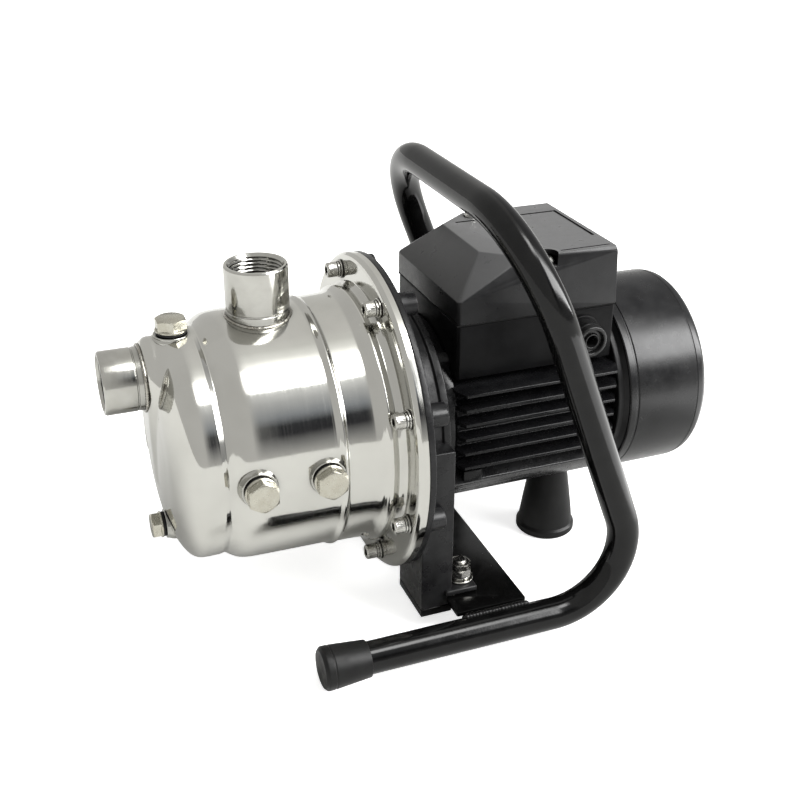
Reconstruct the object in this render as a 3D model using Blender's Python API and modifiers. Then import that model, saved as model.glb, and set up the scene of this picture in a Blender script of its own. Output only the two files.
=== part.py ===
"""Shallow well jet pump with a stainless casing, a finned motor and a carry frame.

Lengths are in metres. The design frame has X along the shaft, from the suction socket
towards the motor fan, with X = 0 on the front face of the motor bracket's flange;
Z = 0 is the ground and Y = 0 is the plane of the shaft. The empty "pump_frame" holds
every part and shifts the design so that the origin is under the middle of the pump.
"""
import math

import bmesh
import bpy
from mathutils import Matrix

# ---------------------------------------------------------------- driving dimensions
GAP = 0.0003                  # clearance between neighbouring pieces
SHAFT_Z = 0.1188              # height of the shaft axis
SUCTION_X = -0.1675           # rim of the suction socket
COVER_BACK_X = 0.213          # rear face of the fan cover
FRAME_SHIFT_X = -(SUCTION_X + COVER_BACK_X) / 2

# pump casing
WALL = 0.002
FLANGE_R = 0.1022
FLANGE_FRONT_X = -0.0068
FLANGE_BACK_X = -GAP
SPIGOT_R = 0.081
SCREW_CIRCLE_R = 0.092
SCREW_COUNT = 8
SCREW_R = 0.003
SCREW_TIP_X = 0.0130

# pipe sockets, a G1 female thread each
SOCKET_R = 0.0192
SOCKET_BORE_R = 0.0156
SOCKET_COUNTERBORE_R = 0.0167
SUCTION_Z = 0.1655
SUCTION_INNER_X = -0.134
DISCHARGE_X = -0.071
DISCHARGE_TOP_Z = 0.228
DISCHARGE_BOTTOM_Z = SHAFT_Z + 0.0725

# plugs, 17 mm across flats
PLUG_HEX_R = 0.017 / math.sqrt(3)
PLUG_HEAD = 0.0068
PLUG_WASHER_R = 0.0097
PLUG_WASHER = 0.0016
PLUG_THREAD_R = 0.0063
PLUG_THREAD = 0.009
PLUG_SEAL = 0.0016
FILLER_X = -0.1235
FILLER_SEAT_Z = 0.1915
DRAIN_Y = -0.004
DRAIN_Z = 0.0650
DRAIN_SCALE = 0.86            # the drain plug is a size smaller than the others
DRAIN_SEAT_X = -0.1389
SIDE_PLUG_Z = 0.1222
SIDE_PLUG_SEAT_Y = -0.0800
SIDE_PLUG_FRONT_X = -0.0945
SIDE_PLUG_REAR_X = -0.0538

# shaft and its bearings
SHAFT_END_R = 0.006
SHAFT_CORE_R = 0.008
BEARING_R = 0.0175
SEAL_BORE_R = 0.0145
IMPELLER_R = 0.048

# motor
STATOR_R = 0.046
STATOR_FRONT_X = 0.050
STATOR_BACK_X = 0.110
ROTOR_R = 0.0279
FRAME_CORE_R = 0.052
FRAME_LOWER_R = 0.0643
FRAME_FRONT_X = 0.036
FRAME_BACK_X = 0.148
FIN_TIP_Y = 0.062
FIN_PITCH = 0.010
FIN_THICKNESS = 0.0026
FIN_LOWEST = -0.020           # below the shaft axis
FIN_COUNT = 6
TIE_BOLT_R = 0.0025
TIE_BOLT_Y = 0.0425
TIE_BOLT_RISE = -0.0317       # the lower pair, below the shaft axis
TIE_BOLT_TOP_Y = 0.0320
TIE_BOLT_TOP_RISE = 0.0423    # the upper pair, above the shaft axis

# fan cover
COVER_R = 0.066
COVER_FRONT_X = 0.154

# bracket
BRACKET_FLANGE = 0.0042
STEP_R = 0.0795               # raised ring between the flange and the lantern
STEP_BACK_X = 0.0090
SCREW_BOSS_R = 0.0075
SCREW_BOSS_BACK_X = 0.0155
LANTERN_R = 0.070
LANTERN_BACK_X = 0.027
LEG_FRONT_X = 0.0040
LEG_BACK_X = 0.025
LEG_INNER_Y = 0.043
LEG_OUTER_Y = 0.0815
LEG_BOTTOM_Z = 0.0085
LEG_TOP_Z = 0.125
LUG_BACK_X = 0.0412
LUG_INNER_Y = 0.060
LUG_OUTER_Y = 0.0845
LUG_TOP_Z = 0.026
FOOT_BOLT_X = 0.034
FOOT_BOLT_Y = 0.0725
FOOT_BOLT_R = 0.0039
FOOT_BOLT_HEAD = 0.0053
FOOT_BOLT_TIP_Z = 0.0405

# terminal box
BOX_FRONT_X = 0.0375
BOX_BACK_X = 0.1455
BOX_HALF_Y = 0.050
BOX_BOTTOM_Z = 0.155
BOX_SEAM_Z = 0.191
BOX_TOP_Z = 0.228
BOX_WALL = 0.003
LID_SCREW_HEAD = 0.0052
NEAR_SCREW = (0.099, -0.0425, 0.2198)     # seat of the lid screw in the near edge's notch
NEAR_POCKET = (0.099, -0.0437, 0.0060)    # centre and radius of that notch
FAR_SCREW = (0.0836, 0.0365, 0.2270)      # the far screw sits in the top face
FAR_POCKET = (0.0836, 0.0365, 0.0050)
GLAND_X = 0.1225
GLAND_Z = 0.1738
GLAND_R = 0.0105

# carry frame
TUBE_R = 0.010
SKID_Y = 0.112
SKID_Z = 0.0131
SKID_FRONT_X = -0.065
SKID_BEND_X = 0.081
SKID_BEND_R = 0.046
LEAN = 0.38                   # how far a leg leans forward per metre of height
HANDLE_Z = 0.2655
HANDLE_BEND_R = 0.065
CAP_R = 0.0134
CAP_BACK_R = 0.0114
CAP_FRONT_X = -0.072
CAP_BACK_X = -0.043
TAB_FRONT_X = 0.0198          # the plate's ends reach further forward beside the legs
TAB_INNER_Y = 0.0835
PLATE_FRONT_X = 0.0275
PLATE_BACK_X = 0.067
PLATE_BOTTOM_Z = 0.019
PLATE_TOP_Z = 0.022
REAR_FOOT_X = 0.134

DIRECTIONS = {
    "+X": (0.0, math.pi / 2, 0.0),
    "-X": (0.0, -math.pi / 2, 0.0),
    "+Y": (-math.pi / 2, 0.0, 0.0),
    "-Y": (math.pi / 2, 0.0, 0.0),
    "+Z": (0.0, 0.0, 0.0),
    "-Z": (math.pi, 0.0, 0.0),
}


# ---------------------------------------------------------------- helpers
def clear_scene():
    for obj in list(bpy.data.objects):
        bpy.data.objects.remove(obj, do_unlink=True)


def make_collection(name):
    collection = bpy.data.collections.new(name)
    bpy.context.scene.collection.children.link(collection)
    return collection


def make_material(name, colour, roughness, metallic):
    material = bpy.data.materials.new(name)
    material.use_nodes = True
    shader = material.node_tree.nodes["Principled BSDF"]
    shader.inputs["Base Color"].default_value = (*colour, 1.0)
    shader.inputs["Roughness"].default_value = roughness
    shader.inputs["Metallic"].default_value = metallic
    material.diffuse_color = (*colour, 1.0)
    return material


def link(obj, collection):
    collection.objects.link(obj)
    obj.parent = FRAME
    return obj


def helper(obj):
    """File an object as a cutter or as stock for a union."""
    for collection in list(obj.users_collection):
        collection.objects.unlink(obj)
    CUTTERS.objects.link(obj)
    obj.hide_render = True
    obj.display_type = "WIRE"
    return obj


def finish(obj, material):
    """Give a part its material."""
    obj.data.materials.clear()
    obj.data.materials.append(material)
    return obj


def bake(obj):
    """Replace an object's mesh or curve by its evaluated mesh."""
    bpy.context.view_layer.update()
    graph = bpy.context.evaluated_depsgraph_get()
    mesh = bpy.data.meshes.new_from_object(obj.evaluated_get(graph))
    work = bmesh.new()
    work.from_mesh(mesh)
    bmesh.ops.remove_doubles(work, verts=work.verts, dist=1e-6)
    bmesh.ops.dissolve_degenerate(work, edges=work.edges, dist=1e-6)
    work.to_mesh(mesh)
    work.free()
    mesh.name = obj.name
    name = obj.name
    matrix = obj.matrix_world.copy()
    collections = list(obj.users_collection)
    bpy.data.objects.remove(obj, do_unlink=True)
    solid = bpy.data.objects.new(name, mesh)
    for collection in collections:
        collection.objects.link(solid)
    solid.parent = FRAME
    bpy.context.view_layer.update()
    solid.matrix_world = matrix
    mesh.shade_smooth()
    mesh.set_sharp_from_angle(angle=math.radians(32))
    return solid


def turned(name, outer, at, direction, inner=None, steps=32):
    """Turn a profile of (distance along the axis, radius) points, listed forwards.

    A solid's profile is closed on the axis; a ring has an inner profile too.
    """
    points = [(radius, 0.0, along) for along, radius in reversed(outer)]
    if inner is None:
        points = [(0.0, 0.0, outer[-1][0])] + points + [(0.0, 0.0, outer[0][0])]
    else:
        points += [(radius, 0.0, along) for along, radius in inner]
    edges = [(i, i + 1) for i in range(len(points) - 1)]
    if inner is not None:
        edges.append((len(points) - 1, 0))
    mesh = bpy.data.meshes.new(name)
    mesh.from_pydata(points, edges, [])
    obj = link(bpy.data.objects.new(name, mesh), PARTS)
    obj.location = at
    obj.rotation_euler = DIRECTIONS[direction]
    screw = obj.modifiers.new("turn", "SCREW")
    screw.axis = "Z"
    screw.angle = 2 * math.pi
    screw.steps = steps
    screw.render_steps = steps
    screw.use_merge_vertices = True
    screw.merge_threshold = 0.00001
    return obj


def cylinder(name, start, length, radius, direction, segments=24, turn=0.0):
    """A cylinder or a prism that starts at a point and runs along a direction."""
    mesh = bpy.data.meshes.new(name)
    work = bmesh.new()
    bmesh.ops.create_cone(work, cap_ends=True, segments=segments, radius1=radius,
                          radius2=radius, depth=length)
    bmesh.ops.translate(work, verts=work.verts, vec=(0.0, 0.0, length / 2))
    bmesh.ops.rotate(work, verts=work.verts, cent=(0.0, 0.0, 0.0),
                     matrix=Matrix.Rotation(turn, 3, "Z"))
    work.to_mesh(mesh)
    work.free()
    obj = link(bpy.data.objects.new(name, mesh), PARTS)
    obj.location = start
    obj.rotation_euler = DIRECTIONS[direction]
    return obj


def block(name, low, high, bevel=0.0):
    """A box between two corners, with its vertical and flat edges rounded by a bevel."""
    mesh = bpy.data.meshes.new(name)
    work = bmesh.new()
    bmesh.ops.create_cube(work, size=1.0)
    size = [h - l for l, h in zip(low, high)]
    bmesh.ops.scale(work, verts=work.verts, vec=size)
    work.to_mesh(mesh)
    work.free()
    obj = link(bpy.data.objects.new(name, mesh), PARTS)
    obj.location = [(l + h) / 2 for l, h in zip(low, high)]
    if bevel > 0.0:
        edge = obj.modifiers.new("round", "BEVEL")
        edge.width = bevel
        edge.segments = 1
    return obj


def hull(name, points):
    """The convex solid around a few corner points."""
    mesh = bpy.data.meshes.new(name)
    work = bmesh.new()
    for point in points:
        work.verts.new(point)
    bmesh.ops.convex_hull(work, input=work.verts)
    bmesh.ops.dissolve_limit(work, angle_limit=0.01, verts=work.verts, edges=work.edges)
    bmesh.ops.recalc_face_normals(work, faces=work.faces)
    work.to_mesh(mesh)
    work.free()
    return link(bpy.data.objects.new(name, mesh), PARTS)


def combine(target, tool, operation):
    helper(tool)
    step = target.modifiers.new(operation.lower(), "BOOLEAN")
    step.operation = operation
    step.object = tool
    step.solver = "EXACT"
    return target


def cut(target, tool):
    return combine(target, tool, "DIFFERENCE")


def join(target, tool):
    return combine(target, tool, "UNION")


def copy_of(obj, name, location):
    """A copy that shares the mesh, at another place."""
    twin = link(bpy.data.objects.new(name, obj.data), PARTS)
    twin.rotation_euler = obj.rotation_euler.copy()
    twin.location = location
    return twin


def axis_point(x, y=0.0, rise=0.0):
    return (x, y, SHAFT_Z + rise)


# ---------------------------------------------------------------- pump end
def casing_outside():
    """Outer profile of the casing from the front face to the back of its flange."""
    return [
        (-0.1398, 0.038), (-0.1388, 0.048), (-0.1360, 0.0565), (-0.1330, 0.064),
        (-0.1290, 0.0695), (-0.1240, 0.0720), (-0.1125, 0.0722), (-0.1095, 0.0716),
        (-0.1060, 0.0742), (-0.1000, 0.0765), (-0.0900, 0.0776), (-0.0480, 0.0780),
        (-0.0440, 0.0796), (-0.0410, 0.0796), (-0.0370, 0.0786), (-0.0190, 0.0802),
        (-0.0150, 0.0828), (-0.0120, 0.0826), (-0.0100, 0.0818), (FLANGE_FRONT_X, 0.0835),
        (FLANGE_FRONT_X, 0.0985), (-0.0058, 0.1010), (-0.0036, FLANGE_R),
        (FLANGE_BACK_X, FLANGE_R),
    ]


def casing_inside():
    """Inner profile of the casing, listed forwards like the outer one."""
    return [
        (-0.1374, 0.040), (-0.1340, 0.0560), (-0.1250, 0.0690), (-0.1085, 0.0700),
        (-0.0980, 0.0744), (-0.0200, 0.0762), (-0.0072, SPIGOT_R), (0.004, SPIGOT_R),
    ]


def casing_nose():
    """The raised, tapering boss on the front face that carries the suction socket."""
    front, back = -0.1435, -0.118
    points = []
    for rise, radius in ((SUCTION_Z - SHAFT_Z, 0.0228), (-0.012, 0.012)):
        for step in range(16):
            angle = 2 * math.pi * step / 16
            y, z = math.cos(angle), math.sin(angle)
            points.append((front, (radius - 0.005) * y, SHAFT_Z + rise + (radius - 0.005) * z))
            points.append((front + 0.004, radius * y, SHAFT_Z + rise + radius * z))
            points.append((back, radius * y, SHAFT_Z + rise + radius * z))
    return hull("nose", points)


def pump_casing(material):
    casing = turned("pump_casing", casing_outside(), axis_point(0.0), "+X", steps=32)
    join(casing, casing_nose())
    filler_boss = cylinder("filler_boss", (FILLER_X, 0.0, SHAFT_Z + 0.060),
                           FILLER_SEAT_Z - SHAFT_Z - 0.060, 0.0115, "+Z", 20)
    join(casing, filler_boss)
    drain_boss = cylinder("drain_boss", (-0.130, DRAIN_Y, DRAIN_Z),
                          -0.130 - DRAIN_SEAT_X, 0.0090, "-X", 20)
    join(casing, drain_boss)
    for x in (SIDE_PLUG_FRONT_X, SIDE_PLUG_REAR_X):
        boss = cylinder("side_boss", (x, -0.072, SIDE_PLUG_Z),
                        -0.072 - SIDE_PLUG_SEAT_Y, 0.0105, "-Y", 20)
        join(casing, boss)
    hollow = turned("casing_hollow", casing_inside(), axis_point(0.0), "+X", steps=32)
    cut(casing, hollow)
    suction = cylinder("suction_hole", (-0.160, 0.0, SUCTION_Z), 0.034, SOCKET_R + GAP, "+X", 32)
    cut(casing, suction)
    discharge = cylinder("discharge_hole", (DISCHARGE_X, 0.0, SHAFT_Z + 0.06), 0.04,
                         SOCKET_R + GAP, "+Z", 32)
    cut(casing, discharge)
    bore = PLUG_THREAD_R + GAP
    cut(casing, cylinder("filler_hole", (FILLER_X, 0.0, SHAFT_Z + 0.05), 0.03, bore, "+Z", 20))
    drain_bore = PLUG_THREAD_R * DRAIN_SCALE + GAP
    cut(casing, cylinder("drain_hole", (-0.120, DRAIN_Y, DRAIN_Z), 0.03, drain_bore, "-X", 20))
    for x in (SIDE_PLUG_FRONT_X, SIDE_PLUG_REAR_X):
        cut(casing, cylinder("side_hole", (x, -0.060, SIDE_PLUG_Z), 0.03, bore, "-Y", 20))
    for index in range(SCREW_COUNT):
        y, rise = screw_place(index)
        hole = cylinder("screw_hole", axis_point(-0.02, y, rise), 0.04, SCREW_R + GAP, "+X", 8)
        cut(casing, hole)
    return finish(bake(casing), material)


def screw_place(index):
    """Place of one flange screw around the shaft, as (y, rise)."""
    angle = 2 * math.pi * (index + 0.5) / SCREW_COUNT
    return SCREW_CIRCLE_R * math.cos(angle), SCREW_CIRCLE_R * math.sin(angle)


def socket(name, length, at, direction, material):
    """A threaded pipe socket; the thread is modelled as its plain bore."""
    mouth = 0.0022
    outer = [(0.0, SOCKET_R), (length - 0.0008, SOCKET_R), (length, SOCKET_R - 0.0008)]
    inner = [(0.0, SOCKET_BORE_R), (length - mouth, SOCKET_BORE_R),
             (length, SOCKET_COUNTERBORE_R)]
    return finish(bake(turned(name, outer, at, direction, inner, steps=28)), material)


def plug_blank(name, at, direction, scale):
    """A hexagon plug with a washer face; its thread starts at the seat."""
    seal = PLUG_SEAL + GAP
    washer_top = seal + PLUG_WASHER
    thread_r = PLUG_THREAD_R * scale
    washer_r = PLUG_WASHER_R * scale
    plug = turned(name, [(-PLUG_THREAD, thread_r - 0.0008), (-PLUG_THREAD + 0.0008, thread_r),
                         (seal, thread_r), (seal, washer_r),
                         (washer_top - 0.0004, washer_r), (washer_top, washer_r - 0.0008)],
                  at, direction, steps=14)
    sign = 1.0 if direction[0] == "+" else -1.0
    start = list(at)
    start["XYZ".index(direction[1])] += sign * (washer_top - PLUG_WASHER / 2)
    head = cylinder("plug_head", start, PLUG_HEAD * scale, PLUG_HEX_R * scale, direction, 6)
    join(plug, head)
    return bake(plug)


def plug_seal(name, at, direction, scale, material):
    """The flat sealing ring under a plug."""
    low = GAP / 2
    high = low + PLUG_SEAL
    outer_r = PLUG_WASHER_R * scale - 0.0003
    inner_r = PLUG_THREAD_R * scale + GAP
    ring = turned(name, [(low, outer_r), (high, outer_r)], at, direction,
                  [(low, inner_r), (high, inner_r)], steps=14)
    return finish(bake(ring), material)


def flange_screws(material):
    """Eight socket head screws with captive washers around the flange."""
    y, rise = screw_place(0)
    base = -(FLANGE_FRONT_X - GAP)
    profile = [
        (-SCREW_TIP_X, SCREW_R), (base, SCREW_R), (base, 0.0060), (base + 0.0014, 0.0060),
        (base + 0.0014, 0.0050), (base + 0.0096, 0.0050),
    ]
    first = turned("flange_screw_1", profile, axis_point(0.0, y, rise), "-X", steps=10)
    cut(first, cylinder("hex_socket", axis_point(-base - 0.0062, y, rise), 0.01, 0.0029, "-X", 6))
    first = finish(bake(first), material)
    for index in range(1, SCREW_COUNT):
        y, rise = screw_place(index)
        copy_of(first, f"flange_screw_{index + 1}", axis_point(0.0, y, rise))


def casing_o_ring(material):
    """The ring that seals the casing against the seal plate."""
    centre_r, ring_r = 0.0789, 0.0014
    centre_x = -0.0035 - GAP - ring_r
    outer, inner = [], []
    for step in range(4):
        angle = math.pi * step / 3
        outer.append((centre_x - ring_r * math.cos(angle), centre_r + ring_r * math.sin(angle)))
        inner.append((centre_x - ring_r * math.cos(angle), centre_r - ring_r * math.sin(angle)))
    ring = turned("casing_o_ring", outer, axis_point(0.0), "+X", inner[1:-1], steps=28)
    return finish(bake(ring), material)


def seal_plate(material):
    """The stainless plate that closes the casing and holds the shaft seal's seat."""
    plate = turned("seal_plate", [(-0.0035, SPIGOT_R - GAP), (-GAP, SPIGOT_R - GAP)], axis_point(0.0), "+X",
                   [(-0.0035, SEAL_BORE_R), (-GAP, SEAL_BORE_R)], steps=32)
    return finish(bake(plate), material)


def ejector_nozzle(material):
    nozzle = turned("ejector_nozzle",
                    [(-0.128, 0.016), (-0.121, 0.016), (-0.121, 0.011), (-0.108, 0.0062)],
                    axis_point(0.0), "+X",
                    [(-0.128, 0.0095), (-0.119, 0.0075), (-0.108, 0.0040)], steps=16)
    return finish(bake(nozzle), material)


def venturi_diffuser(material):
    """Venturi tube and diffuser bowl around the impeller, one moulding."""
    outer = [(-0.105, 0.0165), (-0.098, 0.0120), (-0.062, 0.0125), (-0.043, 0.0200),
             (-0.041, 0.0580), (-0.010, 0.0580)]
    inner = [(-0.105, 0.0135), (-0.098, 0.0068), (-0.085, 0.0068), (-0.043, 0.0130),
             (-0.036, 0.0140), (-0.036, 0.0540), (-0.010, 0.0540)]
    bowl = turned("venturi_diffuser", outer, axis_point(0.0), "+X", inner, steps=22)
    return finish(bake(bowl), material)


def impeller(material):
    """Closed impeller: back plate and hub, six vanes and a front shroud."""
    wheel = turned("impeller", [(-0.0305, 0.0105), (-0.0225, 0.0120), (-0.0225, IMPELLER_R),
                                (-0.0200, IMPELLER_R), (-0.0200, 0.0110), (-0.0142, 0.0110)],
                   axis_point(0.0), "+X",
                   [(-0.0305, SHAFT_END_R + GAP), (-0.0142, SHAFT_END_R + GAP)], steps=22)
    shroud = turned("shroud", [(-0.0342, 0.0165), (-0.0322, 0.0165), (-0.0312, IMPELLER_R - 0.0003),
                               (-0.0295, IMPELLER_R - 0.0003)],
                    axis_point(0.0), "+X", [(-0.0342, 0.0135), (-0.0295, 0.0150)], steps=22)
    join(wheel, shroud)
    for index in range(6):
        angle = 2 * math.pi * index / 6
        vane = hull("vane", vane_corners(angle))
        join(wheel, vane)
    return finish(bake(wheel), material)


def vane_corners(angle):
    """One swept-back vane between the impeller's plates."""
    corners = []
    thickness = 0.0022
    for radius, sweep in ((0.0125, 0.0), (0.0465, 0.55)):
        for side in (-0.5, 0.5):
            turn = angle + sweep + side * thickness / radius
            for x in (-0.0305, -0.0215):
                corners.append(axis_point(x, radius * math.cos(turn), radius * math.sin(turn)))
    return corners


def shaft_seal(rotating_material, seat_material):
    ring = turned("shaft_seal_ring", [(-0.0138, 0.0100), (-0.0105, 0.0125), (-0.0054, 0.0125)],
                  axis_point(0.0), "+X",
                  [(-0.0138, SHAFT_END_R + GAP), (-0.0054, SHAFT_END_R + GAP)], steps=20)
    finish(bake(ring), rotating_material)
    seat = turned("shaft_seal_seat", [(-0.0050, SEAL_BORE_R - GAP), (0.0040, SEAL_BORE_R - GAP)],
                  axis_point(0.0), "+X",
                  [(-0.0050, SHAFT_END_R + 2 * GAP), (0.0040, SHAFT_END_R + 2 * GAP)], steps=20)
    finish(bake(seat), seat_material)


# ---------------------------------------------------------------- motor
def motor_bracket(material):
    """Cast bracket: flange, stepped lantern, bearing housing, screw bosses, legs and lugs."""
    outside = [
        (0.0, FLANGE_R), (BRACKET_FLANGE, FLANGE_R), (BRACKET_FLANGE, STEP_R),
        (STEP_BACK_X, STEP_R - 0.001), (STEP_BACK_X + 0.001, LANTERN_R),
        (LANTERN_BACK_X, LANTERN_R - 0.002),
    ]
    bracket = turned("motor_bracket", outside, axis_point(0.0), "+X",
                     [(0.0, SEAL_BORE_R), (BRACKET_FLANGE, SEAL_BORE_R), (BRACKET_FLANGE, 0.056),
                      (LANTERN_BACK_X, 0.056)], steps=32)
    housing = turned("bearing_housing", [(0.002, 0.024), (0.026, 0.023)], axis_point(0.0), "+X",
                     [(0.002, SEAL_BORE_R), (0.0115, SEAL_BORE_R), (0.0115, BEARING_R + GAP),
                      (0.026, BEARING_R + GAP)], steps=24)
    join(bracket, housing)
    for side in (-1, 1):
        ys = sorted((side * LEG_INNER_Y, side * LEG_OUTER_Y))
        leg = block("leg", (LEG_FRONT_X, ys[0], LEG_BOTTOM_Z), (LEG_BACK_X, ys[1], LEG_TOP_Z))
        join(bracket, leg)
        ys = sorted((side * LUG_INNER_Y, side * LUG_OUTER_Y))
        lug = block("lug", (LEG_BACK_X - 0.005, ys[0], PLATE_TOP_Z + GAP), (LUG_BACK_X, ys[1], LUG_TOP_Z))
        join(bracket, lug)
        bolt_hole = cylinder("bolt_hole", (FOOT_BOLT_X, side * FOOT_BOLT_Y, 0.01), 0.03,
                             FOOT_BOLT_R + GAP, "+Z", 16)
        cut(bracket, bolt_hole)
    for y, rise in tie_bolt_places():
        hole = cylinder("tie_hole", axis_point(0.012, y, rise), 0.03, TIE_BOLT_R + GAP, "+X", 8)
        cut(bracket, hole)
    for index in range(SCREW_COUNT):
        y, rise = screw_place(index)
        boss = cylinder("screw_boss", axis_point(0.002, y, rise), SCREW_BOSS_BACK_X - 0.002,
                        SCREW_BOSS_R, "+X", 12)
        join(bracket, boss)
    for index in range(SCREW_COUNT):
        y, rise = screw_place(index)
        hole = cylinder("screw_hole", axis_point(-0.01, y, rise), 0.01 + SCREW_TIP_X + 0.001,
                        SCREW_R + GAP, "+X", 8)
        cut(bracket, hole)
    return finish(bake(bracket), material)


def tie_bolt_places():
    """The four tie bolts around the stator, as (y, rise)."""
    places = []
    for side in (-1, 1):
        places.append((side * TIE_BOLT_Y, TIE_BOLT_RISE))
        places.append((side * TIE_BOLT_TOP_Y, TIE_BOLT_TOP_RISE))
    return places


def motor_shaft(material):
    shaft = turned("motor_shaft", [(-0.0300, SHAFT_END_R - 0.001), (-0.0290, SHAFT_END_R),
                                   (0.0080, SHAFT_END_R), (0.0080, SHAFT_CORE_R),
                                   (0.1500, SHAFT_CORE_R), (0.1500, SHAFT_END_R),
                                   (0.1860, SHAFT_END_R)],
                   axis_point(0.0), "+X", steps=20)
    return finish(bake(shaft), material)


def ring_part(name, start, end, outer_r, inner_r, steps, material):
    """A plain ring around the shaft axis."""
    ring = turned(name, [(start, outer_r), (end, outer_r)], axis_point(0.0), "+X",
                  [(start, inner_r), (end, inner_r)], steps=steps)
    return finish(bake(ring), material)


def winding(name, start, end, material):
    """A wound end turn with rounded corners."""
    edge = 0.003
    ring = turned(name, [(start, 0.0425 - edge), (start + edge, 0.0425), (end - edge, 0.0425),
                         (end, 0.0425 - edge)],
                  axis_point(0.0), "+X",
                  [(start, 0.0305), (end, 0.0305)], steps=20)
    return finish(bake(ring), material)


def frame_section():
    """Cross-section of the finned frame around the shaft axis, as (y, rise) points."""
    half = []
    for step in range(9):
        angle = -math.pi / 2 + math.radians(58) * step / 8
        half.append((FRAME_LOWER_R * math.cos(angle), FRAME_LOWER_R * math.sin(angle)))
    half.append((fin_root(-0.0265), -0.0265))
    for index in range(FIN_COUNT):
        rise = FIN_LOWEST + index * FIN_PITCH
        low, high = rise - FIN_THICKNESS / 2, rise + FIN_THICKNESS / 2
        half.append((fin_root(low), low))
        half.append((FIN_TIP_Y, low + 0.0003))
        half.append((FIN_TIP_Y, high - 0.0003))
        half.append((fin_root(high), high))
    start = math.asin((FIN_LOWEST + (FIN_COUNT - 1) * FIN_PITCH + 0.006) / FRAME_CORE_R)
    for step in range(6):
        angle = start + (math.pi / 2 - start) * step / 5
        half.append((FRAME_CORE_R * math.cos(angle), FRAME_CORE_R * math.sin(angle)))
    mirrored = [(-y, rise) for y, rise in reversed(half[1:-1])]
    return half + mirrored


def fin_root(rise):
    return math.sqrt(FRAME_CORE_R ** 2 - rise ** 2)


def motor_frame(material):
    """Extruded finned frame with a plain spigot ring at the bracket end."""
    curve = bpy.data.curves.new("motor_frame", "CURVE")
    curve.dimensions = "2D"
    curve.fill_mode = "BOTH"
    curve.extrude = (FRAME_BACK_X - FRAME_FRONT_X) / 2
    outline = curve.splines.new("POLY")
    section = frame_section()
    outline.points.add(len(section) - 1)
    for point, (y, rise) in zip(outline.points, section):
        point.co = (rise, y, 0.0, 1.0)
    outline.use_cyclic_u = True
    frame = link(bpy.data.objects.new("motor_frame", curve), PARTS)
    frame.location = axis_point((FRAME_FRONT_X + FRAME_BACK_X) / 2)
    frame.rotation_euler = DIRECTIONS["-X"]
    frame = bake(frame)
    spigot = cylinder("spigot", axis_point(LANTERN_BACK_X + GAP), 0.0097, 0.0575, "+X", 36)
    join(frame, spigot)
    for y, rise in tie_bolt_places():
        rib = cylinder("tie_rib", axis_point(LANTERN_BACK_X + GAP, y, rise),
                       FRAME_BACK_X - LANTERN_BACK_X - GAP, 0.0056, "+X", 10)
        join(frame, rib)
    lug = block("corner_lug", (FRAME_FRONT_X + 0.008, -0.0545, SHAFT_Z - 0.0350),
                (FRAME_FRONT_X + 0.020, -0.0400, SHAFT_Z - 0.0270))
    join(frame, lug)
    join(frame, lower_apron())
    foot_pad = cylinder("foot_pad", (REAR_FOOT_X, 0.0, SHAFT_Z - FRAME_LOWER_R - 0.0012), 0.02,
                        0.0118, "+Z", 20)
    join(frame, foot_pad)
    cut(frame, cylinder("stator_bore", axis_point(0.020), 0.14, STATOR_R + GAP, "+X", 32))
    for y, rise in tie_bolt_places():
        hole = cylinder("tie_hole", axis_point(0.020, y, rise), 0.14, TIE_BOLT_R + GAP, "+X", 8)
        cut(frame, hole)
    return finish(bake(frame), material)


def lower_apron():
    """The lower part of the frame reaches forward to the bracket, around the spigot."""
    corners = []
    for x in (LANTERN_BACK_X + GAP, FRAME_FRONT_X + 0.001):
        for step in range(-8, 9):
            angle = -math.pi / 2 + math.radians(58) * step / 8
            corners.append(axis_point(x, FRAME_LOWER_R * math.cos(angle), FRAME_LOWER_R * math.sin(angle)))
    return hull("lower_apron", corners)


def tie_bolts(material):
    """Four long bolts that clamp the rear end shield to the bracket."""
    head_x = 0.1520 + GAP
    y, rise = tie_bolt_places()[0]
    first = turned("tie_bolt_1", [(0.0135, TIE_BOLT_R), (head_x, TIE_BOLT_R), (head_x, 0.0043),
                                  (head_x + 0.0026, 0.0043), (head_x + 0.0034, 0.0034)],
                   axis_point(0.0, y, rise), "+X", steps=12)
    first = finish(bake(first), material)
    for index, (y, rise) in enumerate(tie_bolt_places()[1:]):
        copy_of(first, f"tie_bolt_{index + 2}", axis_point(0.0, y, rise))


def rear_end_shield(material):
    """Rear end shield: plate, inward bearing housing and the rim that holds the fan cover."""
    shield = turned("rear_end_shield",
                    [(0.1360, 0.0230), (FRAME_BACK_X + GAP, 0.0230), (FRAME_BACK_X + GAP, 0.0605),
                     (0.1520, 0.0605), (0.1545, COVER_R - WALL - GAP), (0.1600, COVER_R - WALL - GAP)],
                    axis_point(0.0), "+X",
                    [(0.1360, BEARING_R + GAP), (0.1485, BEARING_R + GAP), (0.1485, SHAFT_CORE_R + 2 * GAP),
                     (0.1520, SHAFT_CORE_R + 2 * GAP), (0.1520, 0.0585), (0.1600, 0.0600)],
                    steps=32)
    for y, rise in tie_bolt_places():
        hole = cylinder("tie_hole", axis_point(0.140, y, rise), 0.02, TIE_BOLT_R + GAP, "+X", 8)
        cut(shield, hole)
    return finish(bake(shield), material)


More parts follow.
